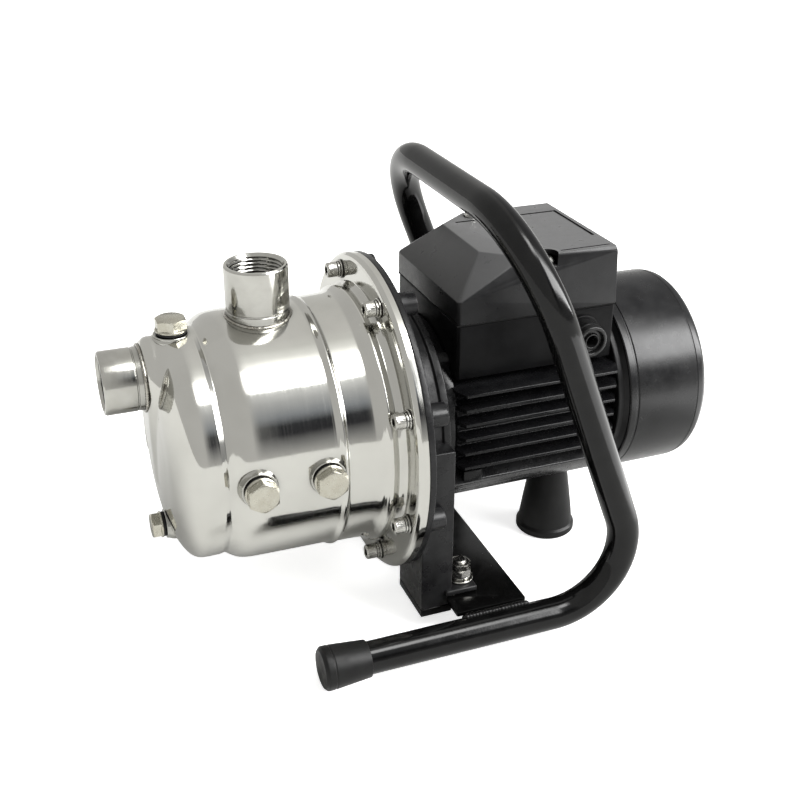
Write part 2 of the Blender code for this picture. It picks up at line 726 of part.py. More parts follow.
def cooling_fan(material):
    """Radial fan: a hub, a disc and seven straight blades."""
    fan = turned("cooling_fan", [(0.1600, 0.0120), (0.1640, 0.0130), (0.1640, 0.0500), (0.1660, 0.0500),
                                 (0.1660, 0.0130), (0.1840, 0.0120)],
                 axis_point(0.0), "+X",
                 [(0.1600, SHAFT_END_R + GAP), (0.1840, SHAFT_END_R + GAP)], steps=24)
    for index in range(7):
        angle = 2 * math.pi * index / 7
        corners = []
        for radius in (0.0105, 0.0555):
            for side in (-0.0010, 0.0010):
                y = radius * math.cos(angle) - side * math.sin(angle)
                rise = radius * math.sin(angle) + side * math.cos(angle)
                corners.append(axis_point(0.1650, y, rise))
                corners.append(axis_point(0.1820, y, rise))
        join(fan, hull("blade", corners))
    return finish(bake(fan), material)


def fan_cover(material):
    """Pressed cover over the fan with a slotted rear face."""
    cover = turned("fan_cover",
                   [(COVER_FRONT_X, COVER_R - 0.0006), (COVER_FRONT_X + 0.001, COVER_R),
                    (0.2050, COVER_R), (0.2085, 0.0650), (0.2112, 0.0630), (COVER_BACK_X, 0.0598)],
                   axis_point(0.0), "+X", steps=36)
    hollow = turned("cover_hollow", [(COVER_FRONT_X - 0.01, COVER_R - WALL), (0.2048, COVER_R - WALL),
                                     (0.2078, 0.0628), (0.2110, 0.0592)],
                    axis_point(0.0), "+X", steps=36)
    cut(cover, hollow)
    mesh = bpy.data.meshes.new("slots")
    work = bmesh.new()
    for ring_r, count, width in ((0.022, 6, 0.0095), (0.043, 12, 0.0120)):
        for index in range(count):
            angle = 2 * math.pi * index / count
            slot = bmesh.ops.create_cube(work, size=1.0)["verts"]
            bmesh.ops.scale(work, verts=slot, vec=(0.010, 0.0140, width))
            bmesh.ops.translate(work, verts=slot, vec=(0.0, ring_r, 0.0))
            bmesh.ops.rotate(work, verts=slot, cent=(0.0, 0.0, 0.0),
                             matrix=Matrix.Rotation(angle, 3, "X"))
    work.to_mesh(mesh)
    work.free()
    slots = link(bpy.data.objects.new("slots", mesh), PARTS)
    slots.location = axis_point(COVER_BACK_X)
    cut(cover, slots)
    return finish(bake(cover), material)


# ---------------------------------------------------------------- terminal box
def terminal_box_base(material):
    """Open tray that straddles the frame; its floor is arched over the stator."""
    base = block("terminal_box_base", (BOX_FRONT_X, -BOX_HALF_Y + 0.0006, BOX_BOTTOM_Z),
                 (BOX_BACK_X, BOX_HALF_Y - 0.0006, BOX_SEAM_Z - 0.0013))
    cut(base, cylinder("saddle", axis_point(0.02), 0.15, FRAME_CORE_R + 2 * GAP, "+X", 32))
    for y, rise in tie_bolt_places():
        if rise > 0.0:
            groove = cylinder("rib_groove", axis_point(0.02, y, rise), 0.15, 0.0056 + 2 * GAP, "+X", 10)
            cut(base, groove)
    cavity = block("cavity", (BOX_FRONT_X + BOX_WALL, -BOX_HALF_Y + 0.0036, 0.1755),
                   (BOX_BACK_X - BOX_WALL, BOX_HALF_Y - 0.0036, 0.2))
    cut(base, cavity)
    cut(base, cylinder("cable_hole", (GLAND_X, -0.040, GLAND_Z + 0.0062), 0.02, 0.0030, "-Y", 12))
    return finish(bake(base), material)


def terminal_box_gasket(material):
    gasket = block("terminal_box_gasket", (BOX_FRONT_X + 0.0004, -BOX_HALF_Y + 0.0010, BOX_SEAM_Z - 0.0010),
                   (BOX_BACK_X - 0.0004, BOX_HALF_Y - 0.0010, BOX_SEAM_Z))
    cut(gasket, block("gasket_opening", (BOX_FRONT_X + BOX_WALL, -BOX_HALF_Y + 0.0036, 0.18),
                      (BOX_BACK_X - BOX_WALL, BOX_HALF_Y - 0.0036, 0.20)))
    return finish(bake(gasket), material)


def lid_corners(inset):
    """Corners of the lid's faceted shape, moved inwards by an inset."""
    low = BOX_SEAM_Z + GAP if inset == 0.0 else BOX_SEAM_Z - 0.004
    top = BOX_TOP_Z - inset
    front, back = BOX_FRONT_X + inset, BOX_BACK_X - inset
    side = BOX_HALF_Y - inset
    corners = []
    for sign in (-1, 1):
        corners += [(front, sign * side, low), (back, sign * side, low)]
        corners += [(front, sign * side, 0.2055 - inset * 0.6)]
        corners += [(0.060 + inset * 0.4, sign * (0.028 - inset * 0.4), top)]
        corners += [(0.082 + inset * 0.4, sign * (0.0455 - inset), top)]
        corners += [(back - 0.0008, sign * (0.0455 - inset), top)]
        corners += [(back, sign * (0.0472 - inset), top - 0.0030)]
    return corners


def terminal_box_lid(material):
    """Faceted lid with a sloping front, a screw notch at its edge and one in its top."""
    lid = hull("terminal_box_lid", lid_corners(0.0))
    cut(lid, hull("lid_hollow", lid_corners(BOX_WALL)))
    low = BOX_SEAM_Z + GAP
    for screw, notch, post_r in ((NEAR_SCREW, NEAR_POCKET, 0.0052), (FAR_SCREW, FAR_POCKET, 0.0062)):
        x, y, seat = screw
        post = cylinder("screw_post", (x, y, low), seat - 0.0002 - low, post_r, "+Z", 12)
        join(lid, post)
        cut(lid, cylinder("screw_pocket", (notch[0], notch[1], seat), 0.02, notch[2], "+Z", 14))
        cut(lid, cylinder("screw_hole", (x, y, 0.180), 0.06, 0.0020 + GAP, "+Z", 12))
    return finish(bake(lid), material)


def lid_screws(material):
    """Two slotted pan head screws."""
    x, y, seat = NEAR_SCREW
    profile = [(-0.0265, 0.0020), (0.0, 0.0020), (0.0, 0.0042), (0.0042, 0.0042),
               (LID_SCREW_HEAD, 0.0034)]
    first = turned("lid_screw_near", profile, (x, y, seat + GAP), "+Z", steps=14)
    slot_z = seat + GAP + LID_SCREW_HEAD - 0.0012
    cut(first, block("driver_slot", (x - 0.006, y - 0.0005, slot_z), (x + 0.006, y + 0.0005, slot_z + 0.01)))
    first = finish(bake(first), material)
    x, y, seat = FAR_SCREW
    copy_of(first, "lid_screw_far", (x, y, seat + GAP))


def capacitor(material):
    """The motor's run capacitor, lying in the terminal box."""
    can = turned("capacitor", [(0.0, 0.0120), (0.0010, 0.0130), (0.0590, 0.0130), (0.0600, 0.0120),
                               (0.0600, 0.0035), (0.0650, 0.0035)],
                 (0.066, 0.014, 0.1895), "+X", steps=20)
    return finish(bake(can), material)


def terminal_block(material):
    strip = block("terminal_block", (0.070, -0.034, 0.1758), (0.118, -0.018, 0.1900), 0.001)
    return finish(bake(strip), material)


def cable_gland(material):
    """Moulded cable entry on the side of the terminal box."""
    wall = BOX_HALF_Y - 0.0006 + GAP
    outer = [(wall, GLAND_R), (wall + 0.0090, GLAND_R), (wall + 0.0100, GLAND_R - 0.0006),
             (wall + 0.0130, GLAND_R - 0.0006), (wall + 0.0150, GLAND_R - 0.0022)]
    inner = [(wall, 0.0036), (wall + 0.0120, 0.0036), (wall + 0.0150, 0.0046)]
    gland = turned("cable_gland", outer, (GLAND_X, 0.0, GLAND_Z), "-Y", inner, steps=18)
    return finish(bake(gland), material)


# ---------------------------------------------------------------- carry frame and feet
def arc(centre, start, end, radius, first, second, steps):
    """Points on an arc in the plane of two unit vectors."""
    points = []
    for step in range(steps + 1):
        angle = start + (end - start) * step / steps
        points.append(tuple(c + radius * (math.cos(angle) * a + math.sin(angle) * b)
                            for c, a, b in zip(centre, first, second)))
    return points


def frame_path():
    """Centre line of the bent tube from the near skid over the handle to the far one."""
    length = math.hypot(LEAN, 1.0)
    up = (-LEAN / length, 0.0, 1.0 / length)
    turn = math.pi / 2 + math.atan(LEAN)
    bend_centre = (SKID_BEND_X, -SKID_Y, SKID_Z + SKID_BEND_R)
    near = [(SKID_FRONT_X, -SKID_Y, SKID_Z)]
    near += arc(bend_centre, 0.0, turn, SKID_BEND_R, (0.0, 0.0, -1.0), (1.0, 0.0, 0.0), 10)
    foot_x, foot_z = near[-1][0], near[-1][2]
    rise = HANDLE_Z - foot_z
    handle_x = foot_x - LEAN * rise
    centre = (handle_x - up[0] * HANDLE_BEND_R, -SKID_Y + HANDLE_BEND_R, HANDLE_Z - up[2] * HANDLE_BEND_R)
    near += arc(centre, 0.0, math.pi / 2, HANDLE_BEND_R, (0.0, -1.0, 0.0), up, 8)
    return near + [(x, -y, z) for x, y, z in reversed(near)]


def carry_frame(material):
    curve = bpy.data.curves.new("carry_frame", "CURVE")
    curve.dimensions = "3D"
    curve.bevel_depth = TUBE_R
    curve.bevel_resolution = 2
    curve.use_fill_caps = True
    path = frame_path()
    line = curve.splines.new("POLY")
    line.points.add(len(path) - 1)
    for point, place in zip(line.points, path):
        point.co = (*place, 1.0)
    tube = link(bpy.data.objects.new("carry_frame", curve), PARTS)
    return finish(bake(tube), material)


def cross_plate(material):
    """Plate between the skids; the bracket's lugs are bolted to it."""
    end_y = SKID_Y - TUBE_R - GAP
    plate = block("cross_plate", (PLATE_FRONT_X, -end_y, PLATE_BOTTOM_Z),
                  (PLATE_BACK_X, end_y, PLATE_TOP_Z))
    for side in (-1, 1):
        ys = sorted((side * TAB_INNER_Y, side * end_y))
        tab = block("tab", (TAB_FRONT_X, ys[0], PLATE_BOTTOM_Z),
                    (PLATE_FRONT_X + 0.01, ys[1], PLATE_TOP_Z))
        join(plate, tab)
    for side in (-1, 1):
        cut(plate, cylinder("bolt_hole", (FOOT_BOLT_X, side * FOOT_BOLT_Y, 0.01), 0.03,
                            FOOT_BOLT_R + GAP, "+Z", 16))
    return finish(bake(plate), material)


def skid_cap(name, side, material):
    """Rubber cap on a skid's front end, with a flat tread at the ground."""
    cap = turned(name, [(CAP_FRONT_X, CAP_R - 0.0016), (CAP_FRONT_X + 0.0012, CAP_R),
                        (CAP_FRONT_X + 0.006, CAP_R), (CAP_BACK_X, CAP_BACK_R)],
                 (0.0, side * SKID_Y, SKID_Z), "+X", steps=24)
    cut(cap, cylinder("tube_room", (SKID_FRONT_X - GAP, side * SKID_Y, SKID_Z), 0.04,
                      TUBE_R + GAP, "+X", 24))
    cut(cap, block("tread", (CAP_FRONT_X - 0.01, side * SKID_Y - 0.02, -0.02),
                   (CAP_BACK_X + 0.01, side * SKID_Y + 0.02, 0.0)))
    return finish(bake(cap), material)


def foot_fasteners(material):
    """A bolt up through the plate and a flanged nut on the lug, on each side."""
    for side, label in ((-1, "near"), (1, "far")):
        y = side * FOOT_BOLT_Y
        head_top = PLATE_BOTTOM_Z - GAP
        bolt = cylinder(f"foot_bolt_{label}", (FOOT_BOLT_X, y, head_top - FOOT_BOLT_HEAD),
                        FOOT_BOLT_HEAD, 0.0130 / math.sqrt(3), "+Z", 6)
        join(bolt, cylinder("shank", (FOOT_BOLT_X, y, head_top - 0.002),
                            FOOT_BOLT_TIP_Z - head_top + 0.002, FOOT_BOLT_R, "+Z", 16))
        finish(bake(bolt), material)
        nut = cylinder(f"foot_nut_{label}", (FOOT_BOLT_X, y, LUG_TOP_Z + GAP + 0.001), 0.0075,
                       0.0130 / math.sqrt(3), "+Z", 6, 0.3)
        join(nut, cylinder("nut_washer", (FOOT_BOLT_X, y, LUG_TOP_Z + GAP), 0.0018, 0.0085, "+Z", 20))
        cut(nut, cylinder("nut_bore", (FOOT_BOLT_X, y, 0.02), 0.04, FOOT_BOLT_R + GAP, "+Z", 16))
        finish(bake(nut), material)


def rear_foot(material):
    """Conical rubber foot under the motor's rear end."""
    top = SHAFT_Z - FRAME_LOWER_R - 0.0012 - GAP
    foot = turned("rear_foot", [(0.0, 0.0198), (0.0012, 0.0207), (0.0055, 0.0207), (0.0070, 0.0192),
                                (top, 0.0128)],
                  (REAR_FOOT_X, 0.0, 0.0), "+Z", steps=28)
    cut(foot, cylinder("foot_recess", (REAR_FOOT_X, 0.0, -0.01), 0.022, 0.0075, "+Z", 16))
    return finish(bake(foot), material)


# ---------------------------------------------------------------- assembly
def build():
    steel = make_material("polished_steel", (0.70, 0.69, 0.66), 0.12, 1.0)
    socket_steel = make_material("socket_steel", (0.66, 0.65, 0.62), 0.18, 1.0)
    plug_steel = make_material("plug_nickel", (0.62, 0.58, 0.48), 0.28, 1.0)
    zinc = make_material("zinc_screw", (0.66, 0.67, 0.68), 0.25, 1.0)
    seal_rubber = make_material("seal_rubber", (0.02, 0.02, 0.02), 0.7, 0.0)
    noryl = make_material("ejector_plastic", (0.05, 0.05, 0.055), 0.45, 0.0)
    brass = make_material("impeller_brass", (0.72, 0.53, 0.25), 0.3, 1.0)
    carbon = make_material("seal_carbon", (0.04, 0.04, 0.045), 0.4, 0.0)
    ceramic = make_material("seal_ceramic", (0.85, 0.84, 0.80), 0.3, 0.0)
    cast_black = make_material("bracket_paint", (0.015, 0.015, 0.016), 0.42, 0.0)
    shaft_steel = make_material("shaft_steel", (0.55, 0.55, 0.56), 0.25, 1.0)
    lamination = make_material("lamination_steel", (0.35, 0.35, 0.36), 0.5, 1.0)
    bearing_steel = make_material("bearing_steel", (0.60, 0.60, 0.62), 0.2, 1.0)
    copper = make_material("winding_copper", (0.60, 0.25, 0.12), 0.4, 1.0)
    frame_black = make_material("frame_paint", (0.012, 0.012, 0.013), 0.38, 0.0)
    shield_black = make_material("shield_paint", (0.014, 0.014, 0.015), 0.45, 0.0)
    fan_plastic = make_material("fan_plastic", (0.03, 0.03, 0.03), 0.5, 0.0)
    cover_black = make_material("cover_paint", (0.02, 0.02, 0.021), 0.4, 0.0)
    box_plastic = make_material("box_plastic", (0.025, 0.025, 0.026), 0.5, 0.0)
    gasket_rubber = make_material("gasket_rubber", (0.01, 0.01, 0.01), 0.8, 0.0)
    can_metal = make_material("capacitor_can", (0.75, 0.75, 0.74), 0.35, 1.0)
    block_plastic = make_material("terminal_plastic", (0.80, 0.78, 0.70), 0.5, 0.0)
    gland_plastic = make_material("gland_plastic", (0.012, 0.012, 0.012), 0.35, 0.0)
    tube_black = make_material("tube_paint", (0.01, 0.01, 0.01), 0.22, 0.0)
    plate_black = make_material("plate_paint", (0.012, 0.012, 0.012), 0.3, 0.0)
    foot_rubber = make_material("foot_rubber", (0.02, 0.02, 0.02), 0.75, 0.0)

    pump_casing(steel)
    socket("suction_socket", SUCTION_INNER_X - SUCTION_X, (SUCTION_INNER_X, 0.0, SUCTION_Z), "-X",
           socket_steel)
    socket("discharge_socket", DISCHARGE_TOP_Z - DISCHARGE_BOTTOM_Z,
           (DISCHARGE_X, 0.0, DISCHARGE_BOTTOM_Z), "+Z", socket_steel)
    plugs = (
        ("filler_plug", (FILLER_X, 0.0, FILLER_SEAT_Z), "+Z", 1.0),
        ("drain_plug", (DRAIN_SEAT_X, DRAIN_Y, DRAIN_Z), "-X", DRAIN_SCALE),
        ("front_side_plug", (SIDE_PLUG_FRONT_X, SIDE_PLUG_SEAT_Y, SIDE_PLUG_Z), "-Y", 1.0),
        ("rear_side_plug", (SIDE_PLUG_REAR_X, SIDE_PLUG_SEAT_Y, SIDE_PLUG_Z), "-Y", 1.0),
    )
    for name, at, direction, scale in plugs:
        finish(plug_blank(name, at, direction, scale), plug_steel)
        plug_seal(f"{name}_seal", at, direction, scale, seal_rubber)
    flange_screws(zinc)
    casing_o_ring(seal_rubber)
    seal_plate(steel)
    ejector_nozzle(noryl)
    venturi_diffuser(noryl)
    impeller(brass)
    shaft_seal(carbon, ceramic)
    motor_bracket(cast_black)
    motor_shaft(shaft_steel)
    ring_part("rotor_core", STATOR_FRONT_X, STATOR_BACK_X, ROTOR_R, SHAFT_CORE_R + GAP, 28, lamination)
    ring_part("front_bearing", 0.0120, 0.0230, BEARING_R, SHAFT_CORE_R + GAP, 20, bearing_steel)
    ring_part("rear_bearing", 0.1370, 0.1480, BEARING_R, SHAFT_CORE_R + GAP, 20, bearing_steel)
    ring_part("stator_core", STATOR_FRONT_X, STATOR_BACK_X, STATOR_R, ROTOR_R + GAP, 32, lamination)
    winding("front_winding", 0.0370, STATOR_FRONT_X - GAP, copper)
    winding("rear_winding", STATOR_BACK_X + GAP, 0.1230, copper)
    motor_frame(frame_black)
    tie_bolts(zinc)
    rear_end_shield(shield_black)
    cooling_fan(fan_plastic)
    fan_cover(cover_black)
    terminal_box_base(box_plastic)
    terminal_box_gasket(gasket_rubber)
    terminal_box_lid(box_plastic)
    lid_screws(zinc)
    capacitor(can_metal)
    terminal_block(block_plastic)
    cable_gland(gland_plastic)
    carry_frame(tube_black)
    cross_plate(plate_black)
    skid_cap("skid_cap_near", -1, foot_rubber)
    skid_cap("skid_cap_far", 1, foot_rubber)
    foot_fasteners(zinc)
    rear_foot(foot_rubber)


clear_scene()
PARTS = make_collection("shallow_well_jet_pump")
CUTTERS = make_collection("cutters")
FRAME = bpy.data.objects.new("pump_frame", None)
FRAME.location = (FRAME_SHIFT_X, 0.0, 0.0)
PARTS.objects.link(FRAME)
build()
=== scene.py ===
"""Visual model of a shallow well jet pump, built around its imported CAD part.

Lengths are in metres. Positions are written in the part's design frame and moved into the
row frame by place(): X runs along the shaft from the bracket flange's front face, Z is the
height over the ground and Y = 0 is the plane of the shaft. Every piece rides on the CAD body
that its CAD node belongs to.
"""
import math

import bmesh
import bpy
import numpy as np
from mathutils import Matrix, Vector


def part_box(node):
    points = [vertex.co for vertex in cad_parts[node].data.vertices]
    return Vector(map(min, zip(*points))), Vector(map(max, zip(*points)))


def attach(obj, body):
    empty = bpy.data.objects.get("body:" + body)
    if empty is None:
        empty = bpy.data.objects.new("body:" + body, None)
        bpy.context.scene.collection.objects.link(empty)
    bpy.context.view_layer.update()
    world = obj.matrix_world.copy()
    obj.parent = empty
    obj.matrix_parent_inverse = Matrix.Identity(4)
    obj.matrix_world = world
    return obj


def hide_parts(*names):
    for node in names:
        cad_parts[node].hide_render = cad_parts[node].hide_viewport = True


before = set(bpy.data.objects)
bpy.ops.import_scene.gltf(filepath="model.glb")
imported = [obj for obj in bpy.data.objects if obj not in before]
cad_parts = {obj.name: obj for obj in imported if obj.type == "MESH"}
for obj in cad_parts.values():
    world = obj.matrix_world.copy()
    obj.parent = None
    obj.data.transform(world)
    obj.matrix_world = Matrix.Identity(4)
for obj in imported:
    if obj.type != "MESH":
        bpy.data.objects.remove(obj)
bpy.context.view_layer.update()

# ---------------------------------------------------------------- reference positions
ORIGIN_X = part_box("motor_bracket")[0].x
PUMP = "pump"
SIDES = ((-1, "near"), (1, "far"))


def design(corner):
    """A row-frame point as a design-frame vector."""
    return Vector((corner.x - ORIGIN_X, corner.y, corner.z))


def design_box(node):
    low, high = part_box(node)
    return design(low), design(high)


SOCKET_LOW, SOCKET_HIGH = design_box("discharge_socket")
SUCTION_LOW, SUCTION_HIGH = design_box("suction_socket")
CASING_LOW, CASING_HIGH = design_box("pump_casing")
COVER_LOW, COVER_HIGH = design_box("fan_cover")
FRAME_HIGH = design_box("motor_frame")[1]
BASE_LOW, BASE_HIGH = design_box("terminal_box_base")
LID_LOW, LID_HIGH = design_box("terminal_box_lid")
GLAND_LOW, GLAND_HIGH = design_box("cable_gland")
PLATE_LOW, PLATE_HIGH = design_box("cross_plate")
CAP_LOW, CAP_HIGH = design_box("skid_cap_near")
FOOT_LOW, FOOT_HIGH = design_box("rear_foot")
TUBE_LOW, TUBE_HIGH = design_box("carry_frame")
NUT_LOW, NUT_HIGH = design_box("foot_nut_near")
BOLT_LOW, BOLT_HIGH = design_box("foot_bolt_near")

SHAFT_Z = (COVER_LOW.z + COVER_HIGH.z) / 2
GAP = 0.0003

# casing and flange
FLANGE_R = (CASING_HIGH.z - CASING_LOW.z) / 2
FLANGE_FRONT_X = -0.0068
SCREW_CIRCLE_R = 0.092
SCREW_COUNT = 8
SCREW_HOLE_R = 0.0033
SUCTION_Z = (SUCTION_LOW.z + SUCTION_HIGH.z) / 2
SOCKET_R = (SUCTION_HIGH.z - SUCTION_LOW.z) / 2
SOCKET_BORE_R = 0.0156
THREAD_PITCH = 0.00231
THREAD_DEPTH = 0.0009
WELD_R = 0.0010
DISCHARGE_X = (SOCKET_LOW.x + SOCKET_HIGH.x) / 2
NOSE_FRONT_X = CASING_LOW.x
NOSE_TOP_R = 0.0233
NOSE_TOP_Z = SUCTION_Z + 0.0008
NOSE_SINK = 0.0030
NOSE_LOW_R = 0.010
NOSE_LOW_Z = SHAFT_Z - 0.017
NOSE_EDGE_R = 0.0065
NOSE_BLEND = 0.005

# plugs, 17 mm across flats
PLUG_FLAT = 0.0085
PLUG_HEAD = 0.0068
PLUG_BOSS_R = 0.0108
PLUG_WASHER_R = 0.0097
PLUG_WASHER = 0.0016
PLUG_THREAD_R = 0.0063
PLUG_THREAD = 0.009
PLUG_SEAL = 0.0016
BORE_CLEARANCE = 0.0003
DRAIN_SCALE = 0.86

# motor
FRAME_CORE_R = 0.052
FRAME_LOWER_R = 0.0643
APRON_TURN = math.radians(58)
APRON_DROP = 0.0265
FIN_PITCH = 0.010
FIN_THICKNESS = 0.0026
FIN_LOWEST = -0.020
FIN_COUNT = 6
FIN_TIP_Y = FRAME_HIGH.y
FIN_SLANT = 0.0052
FIN_SLANT_ROOT_Y = 0.0536
FIN_SLANT_TIP_Y = 0.0640
FRAME_LUG_Y = (0.0400, 0.0545)
FOOT_PAD_R = 0.0118
STATOR_R = 0.046
SPIGOT_R = 0.0575
TIE_RIB_R = 0.0056
TIE_HOLE_R = 0.0028
FRAME_FRONT_X = 0.036
FRAME_BACK_X = FRAME_HIGH.x
REAR_FOOT_X = (FOOT_LOW.x + FOOT_HIGH.x) / 2
TIE_PLACES = ((0.0425, -0.0317), (0.0320, 0.0423))
COVER_R = (COVER_HIGH.y - COVER_LOW.y) / 2
COVER_WALL = 0.0016
# inner radius, outer radius, count and half width of the slots in the fan cover's back
GRILLE_RINGS = ((0.0165, 0.0275, 6, 0.0052), (0.0315, 0.0405, 12, 0.0062),
                (0.0440, 0.0515, 18, 0.0060))

# bracket
BRACKET_FLANGE = 0.0042
STEP_R = 0.0795
STEP_BACK_X = 0.0090
SCREW_BOSS_R = 0.0075
SCREW_BOSS_BACK_X = 0.0155
SCREW_TIP_X = 0.0130
LANTERN_R = 0.070
LANTERN_BACK_X = 0.027
LEG_FRONT_X = 0.0040
LEG_BACK_X = 0.025
LEG_INNER_Y = 0.043
LEG_OUTER_Y = 0.0815
LEG_BOTTOM_Z = 0.0085
SOLE_TOP_Z = 0.0140
THREAD_START_Z = 0.0275
LUG_BACK_X = 0.0412
LUG_INNER_Y = 0.060
LUG_OUTER_Y = 0.0845
LUG_TOP_Z = NUT_LOW.z - GAP
BOLT_MID_X = (BOLT_LOW.x + BOLT_HIGH.x) / 2
BOLT_MID_Y = -(BOLT_LOW.y + BOLT_HIGH.y) / 2
FOOT_HOLE_R = 0.0042
BOLT_R = 0.0039
BOLT_PITCH = 0.00125
NUT_BORE_R = 0.0041
NUT_FLAT = 0.0065

# terminal box
BOX_FRONT_X, BOX_BACK_X = LID_LOW.x, LID_HIGH.x
BOX_HALF_Y = LID_HIGH.y
BOX_SEAM_Z = LID_LOW.z - GAP
BOX_TOP_Z = LID_HIGH.z
BOX_CORNER = 0.0020
GLAND_X = (GLAND_LOW.x + GLAND_HIGH.x) / 2
GLAND_Z = (GLAND_LOW.z + GLAND_HIGH.z) / 2
GLAND_R = (GLAND_HIGH.x - GLAND_LOW.x) / 2
CABLE_R = 0.0030
HOOD_R = 0.0122
HOOD_Y = BOX_HALF_Y + 0.0012
LID_SIDE_Y = 0.0455
LID_SLOPE_Z = 0.2055
SCREW_HEAD = 0.0052

# carry frame
TUBE_R = 0.010
SKID_Y = (CAP_LOW.y + CAP_HIGH.y) / -2
SKID_Z = TUBE_LOW.z + TUBE_R
SKID_FRONT_X = TUBE_LOW.x
SKID_BEND_X = 0.081
CAP_BACK_R = 0.0114
SKID_BEND_R = 0.046
LEAN = 0.38
TAB_DEPTH = 0.0077
TAB_INNER_Y = 0.0835
HANDLE_Z = TUBE_HIGH.z - TUBE_R
HANDLE_BEND_R = 0.065
PLATE_WELD_R = 0.0021


def place(x, y, z):
    """Design-frame point to row frame."""
    return Vector((x + ORIGIN_X, y, z))


# ---------------------------------------------------------------- mesh helpers
AXES = {
    "+X": Matrix(((0, 0, 1), (1, 0, 0), (0, 1, 0))),
    "-X": Matrix(((0, 0, -1), (-1, 0, 0), (0, 1, 0))),
    "-Y": Matrix(((1, 0, 0), (0, 0, -1), (0, 1, 0))),
    "+Z": Matrix(((1, 0, 0), (0, 1, 0), (0, 0, 1))),
    "-Z": Matrix(((1, 0, 0), (0, -1, 0), (0, 0, -1))),
}


def turned(origin, direction):
    """Turns a radius, an angle and a height on an axis of the design frame into a row-frame point."""
    def point(radius, angle, height):
        spot = Vector((radius * math.cos(angle), radius * math.sin(angle), height))
        return place(*origin) + AXES[direction] @ spot
    return point


def angles(steps):
    return [2 * math.pi * step / steps for step in range(steps)]


def linked(name, mesh):
    obj = bpy.data.objects.new(name, mesh)
    bpy.context.scene.collection.objects.link(obj)
    return obj


def mesh_object(name, verts, faces):
    mesh = bpy.data.meshes.new(name)
    mesh.from_pydata([tuple(v) for v in verts], [], faces)
    mesh.update()
    mesh.validate()
    return linked(name, mesh)


def fix_normals(obj):
    work = bmesh.new()
    work.from_mesh(obj.data)
    bmesh.ops.recalc_face_normals(work, faces=work.faces[:])
    work.to_mesh(obj.data)
    work.free()
    return obj


def ring_solid(name, rings, tips=()):
    """Solid through closed rings of points: two tips close its ends, or else it meets itself."""
    steps = len(rings[0])
    verts = [point for ring in rings for point in ring]
    faces = []
    for row in range(len(rings) - 1 if tips else len(rings)):
        a, b = row * steps, (row + 1) % len(rings) * steps
        for step in range(steps):
            nxt = (step + 1) % steps
            faces.append((a + step, a + nxt, b + nxt, b + step))
    for tip, row in zip(tips, (0, len(rings) - 1)):
        first = row * steps
        faces += [(len(verts), first + step, first + (step + 1) % steps) for step in range(steps)]
        verts.append(tip)
    return fix_normals(mesh_object(name, verts, faces))


def revolve(name, profile, origin, direction, steps=96, shape=None):
    """Solid of revolution of a closed (height, radius) profile.

    A profile that starts and ends on the axis closes itself; any other profile is a ring.
    shape(height, radius, angle) may return a changed (height, radius).
    """
    point = turned(origin, direction)
    on_axis = profile[0][1] < 1e-7 and profile[-1][1] < 1e-7
    tips = [point(0, 0, profile[end][0]) for end in (0, -1)] if on_axis else ()
    rings = []
    for height, radius in profile[1:-1] if on_axis else profile:
        ring = []
        for angle in angles(steps):
            h, r = shape(height, radius, angle) if shape else (height, radius)
            ring.append(point(r, angle, h))
        rings.append(ring)
    return ring_solid(name, rings, tips)


def sweep(name, path, radius, sides, wobble=None, closed=False):
    """Round bar along a path of row-frame points: a loop, or open with flat ends."""
    count = len(path)
    centre = sum(path, Vector()) / count
    side = (path[1] - path[0]).orthogonal()
    rings = []
    for index, point in enumerate(path):
        ahead = path[(index + 1) % count] if closed else path[min(index + 1, count - 1)]
        behind = path[index - 1] if closed else path[max(index - 1, 0)]
        tangent = (ahead - behind).normalized()
        side = point - centre if closed else side
        side = (side - tangent * side.dot(tangent)).normalized()
        other = tangent.cross(side)
        ring = []
        for angle in angles(sides):
            r = radius * wobble(index, angle) if wobble else radius
            ring.append(point + side * (r * math.cos(angle)) + other * (r * math.sin(angle)))
        rings.append(ring)
    return ring_solid(name, rings, () if closed else (path[0], path[-1]))


def prism(name, outline, start, end, plane="YZ"):
    """Straight extrusion of a closed outline given in the YZ or the XY plane."""
    verts = []
    for level in (start, end):
        for u, v in outline:
            verts.append(place(level, u, v) if plane == "YZ" else place(u, v, level))
    count = len(outline)
    faces = [tuple(range(count)), tuple(range(count, 2 * count))]
    for step in range(count):
        nxt = (step + 1) % count
        faces.append((step, nxt, count + nxt, count + step))
    return fix_normals(mesh_object(name, verts, faces))


def block(name, low, high):
    outline = [(low[0], low[1]), (high[0], low[1]), (high[0], high[1]), (low[0], high[1])]
    return prism(name, outline, low[2], high[2], "XY")


def rod(name, start, length, radius, direction, steps=48):
    """Plain cylinder, used as a cutter or as stock for a cut piece."""
    return revolve(name, [(0, 0), (0, radius), (length, radius), (length, 0)], start, direction, steps)


def hull(name, points):
    """Convex hull of design-frame points, with its flat faces merged."""
    work = bmesh.new()
    for point in points:
        work.verts.new(place(*point))
    bmesh.ops.convex_hull(work, input=work.verts[:])
    loose = [v for v in work.verts if not v.link_faces]
    bmesh.ops.delete(work, geom=loose, context="VERTS")
    bmesh.ops.dissolve_limit(work, angle_limit=0.01, verts=work.verts[:], edges=work.edges[:])
    bmesh.ops.recalc_face_normals(work, faces=work.faces[:])
    mesh = bpy.data.meshes.new(name)
    work.to_mesh(mesh)
    work.free()
    return linked(name, mesh)


def settle(obj):
    """Replaces the object's mesh by its evaluated one and drops the modifiers."""
    graph = bpy.context.evaluated_depsgraph_get()
    mesh = bpy.data.meshes.new_from_object(obj.evaluated_get(graph))
    obj.modifiers.clear()
    obj.data = mesh
    return obj


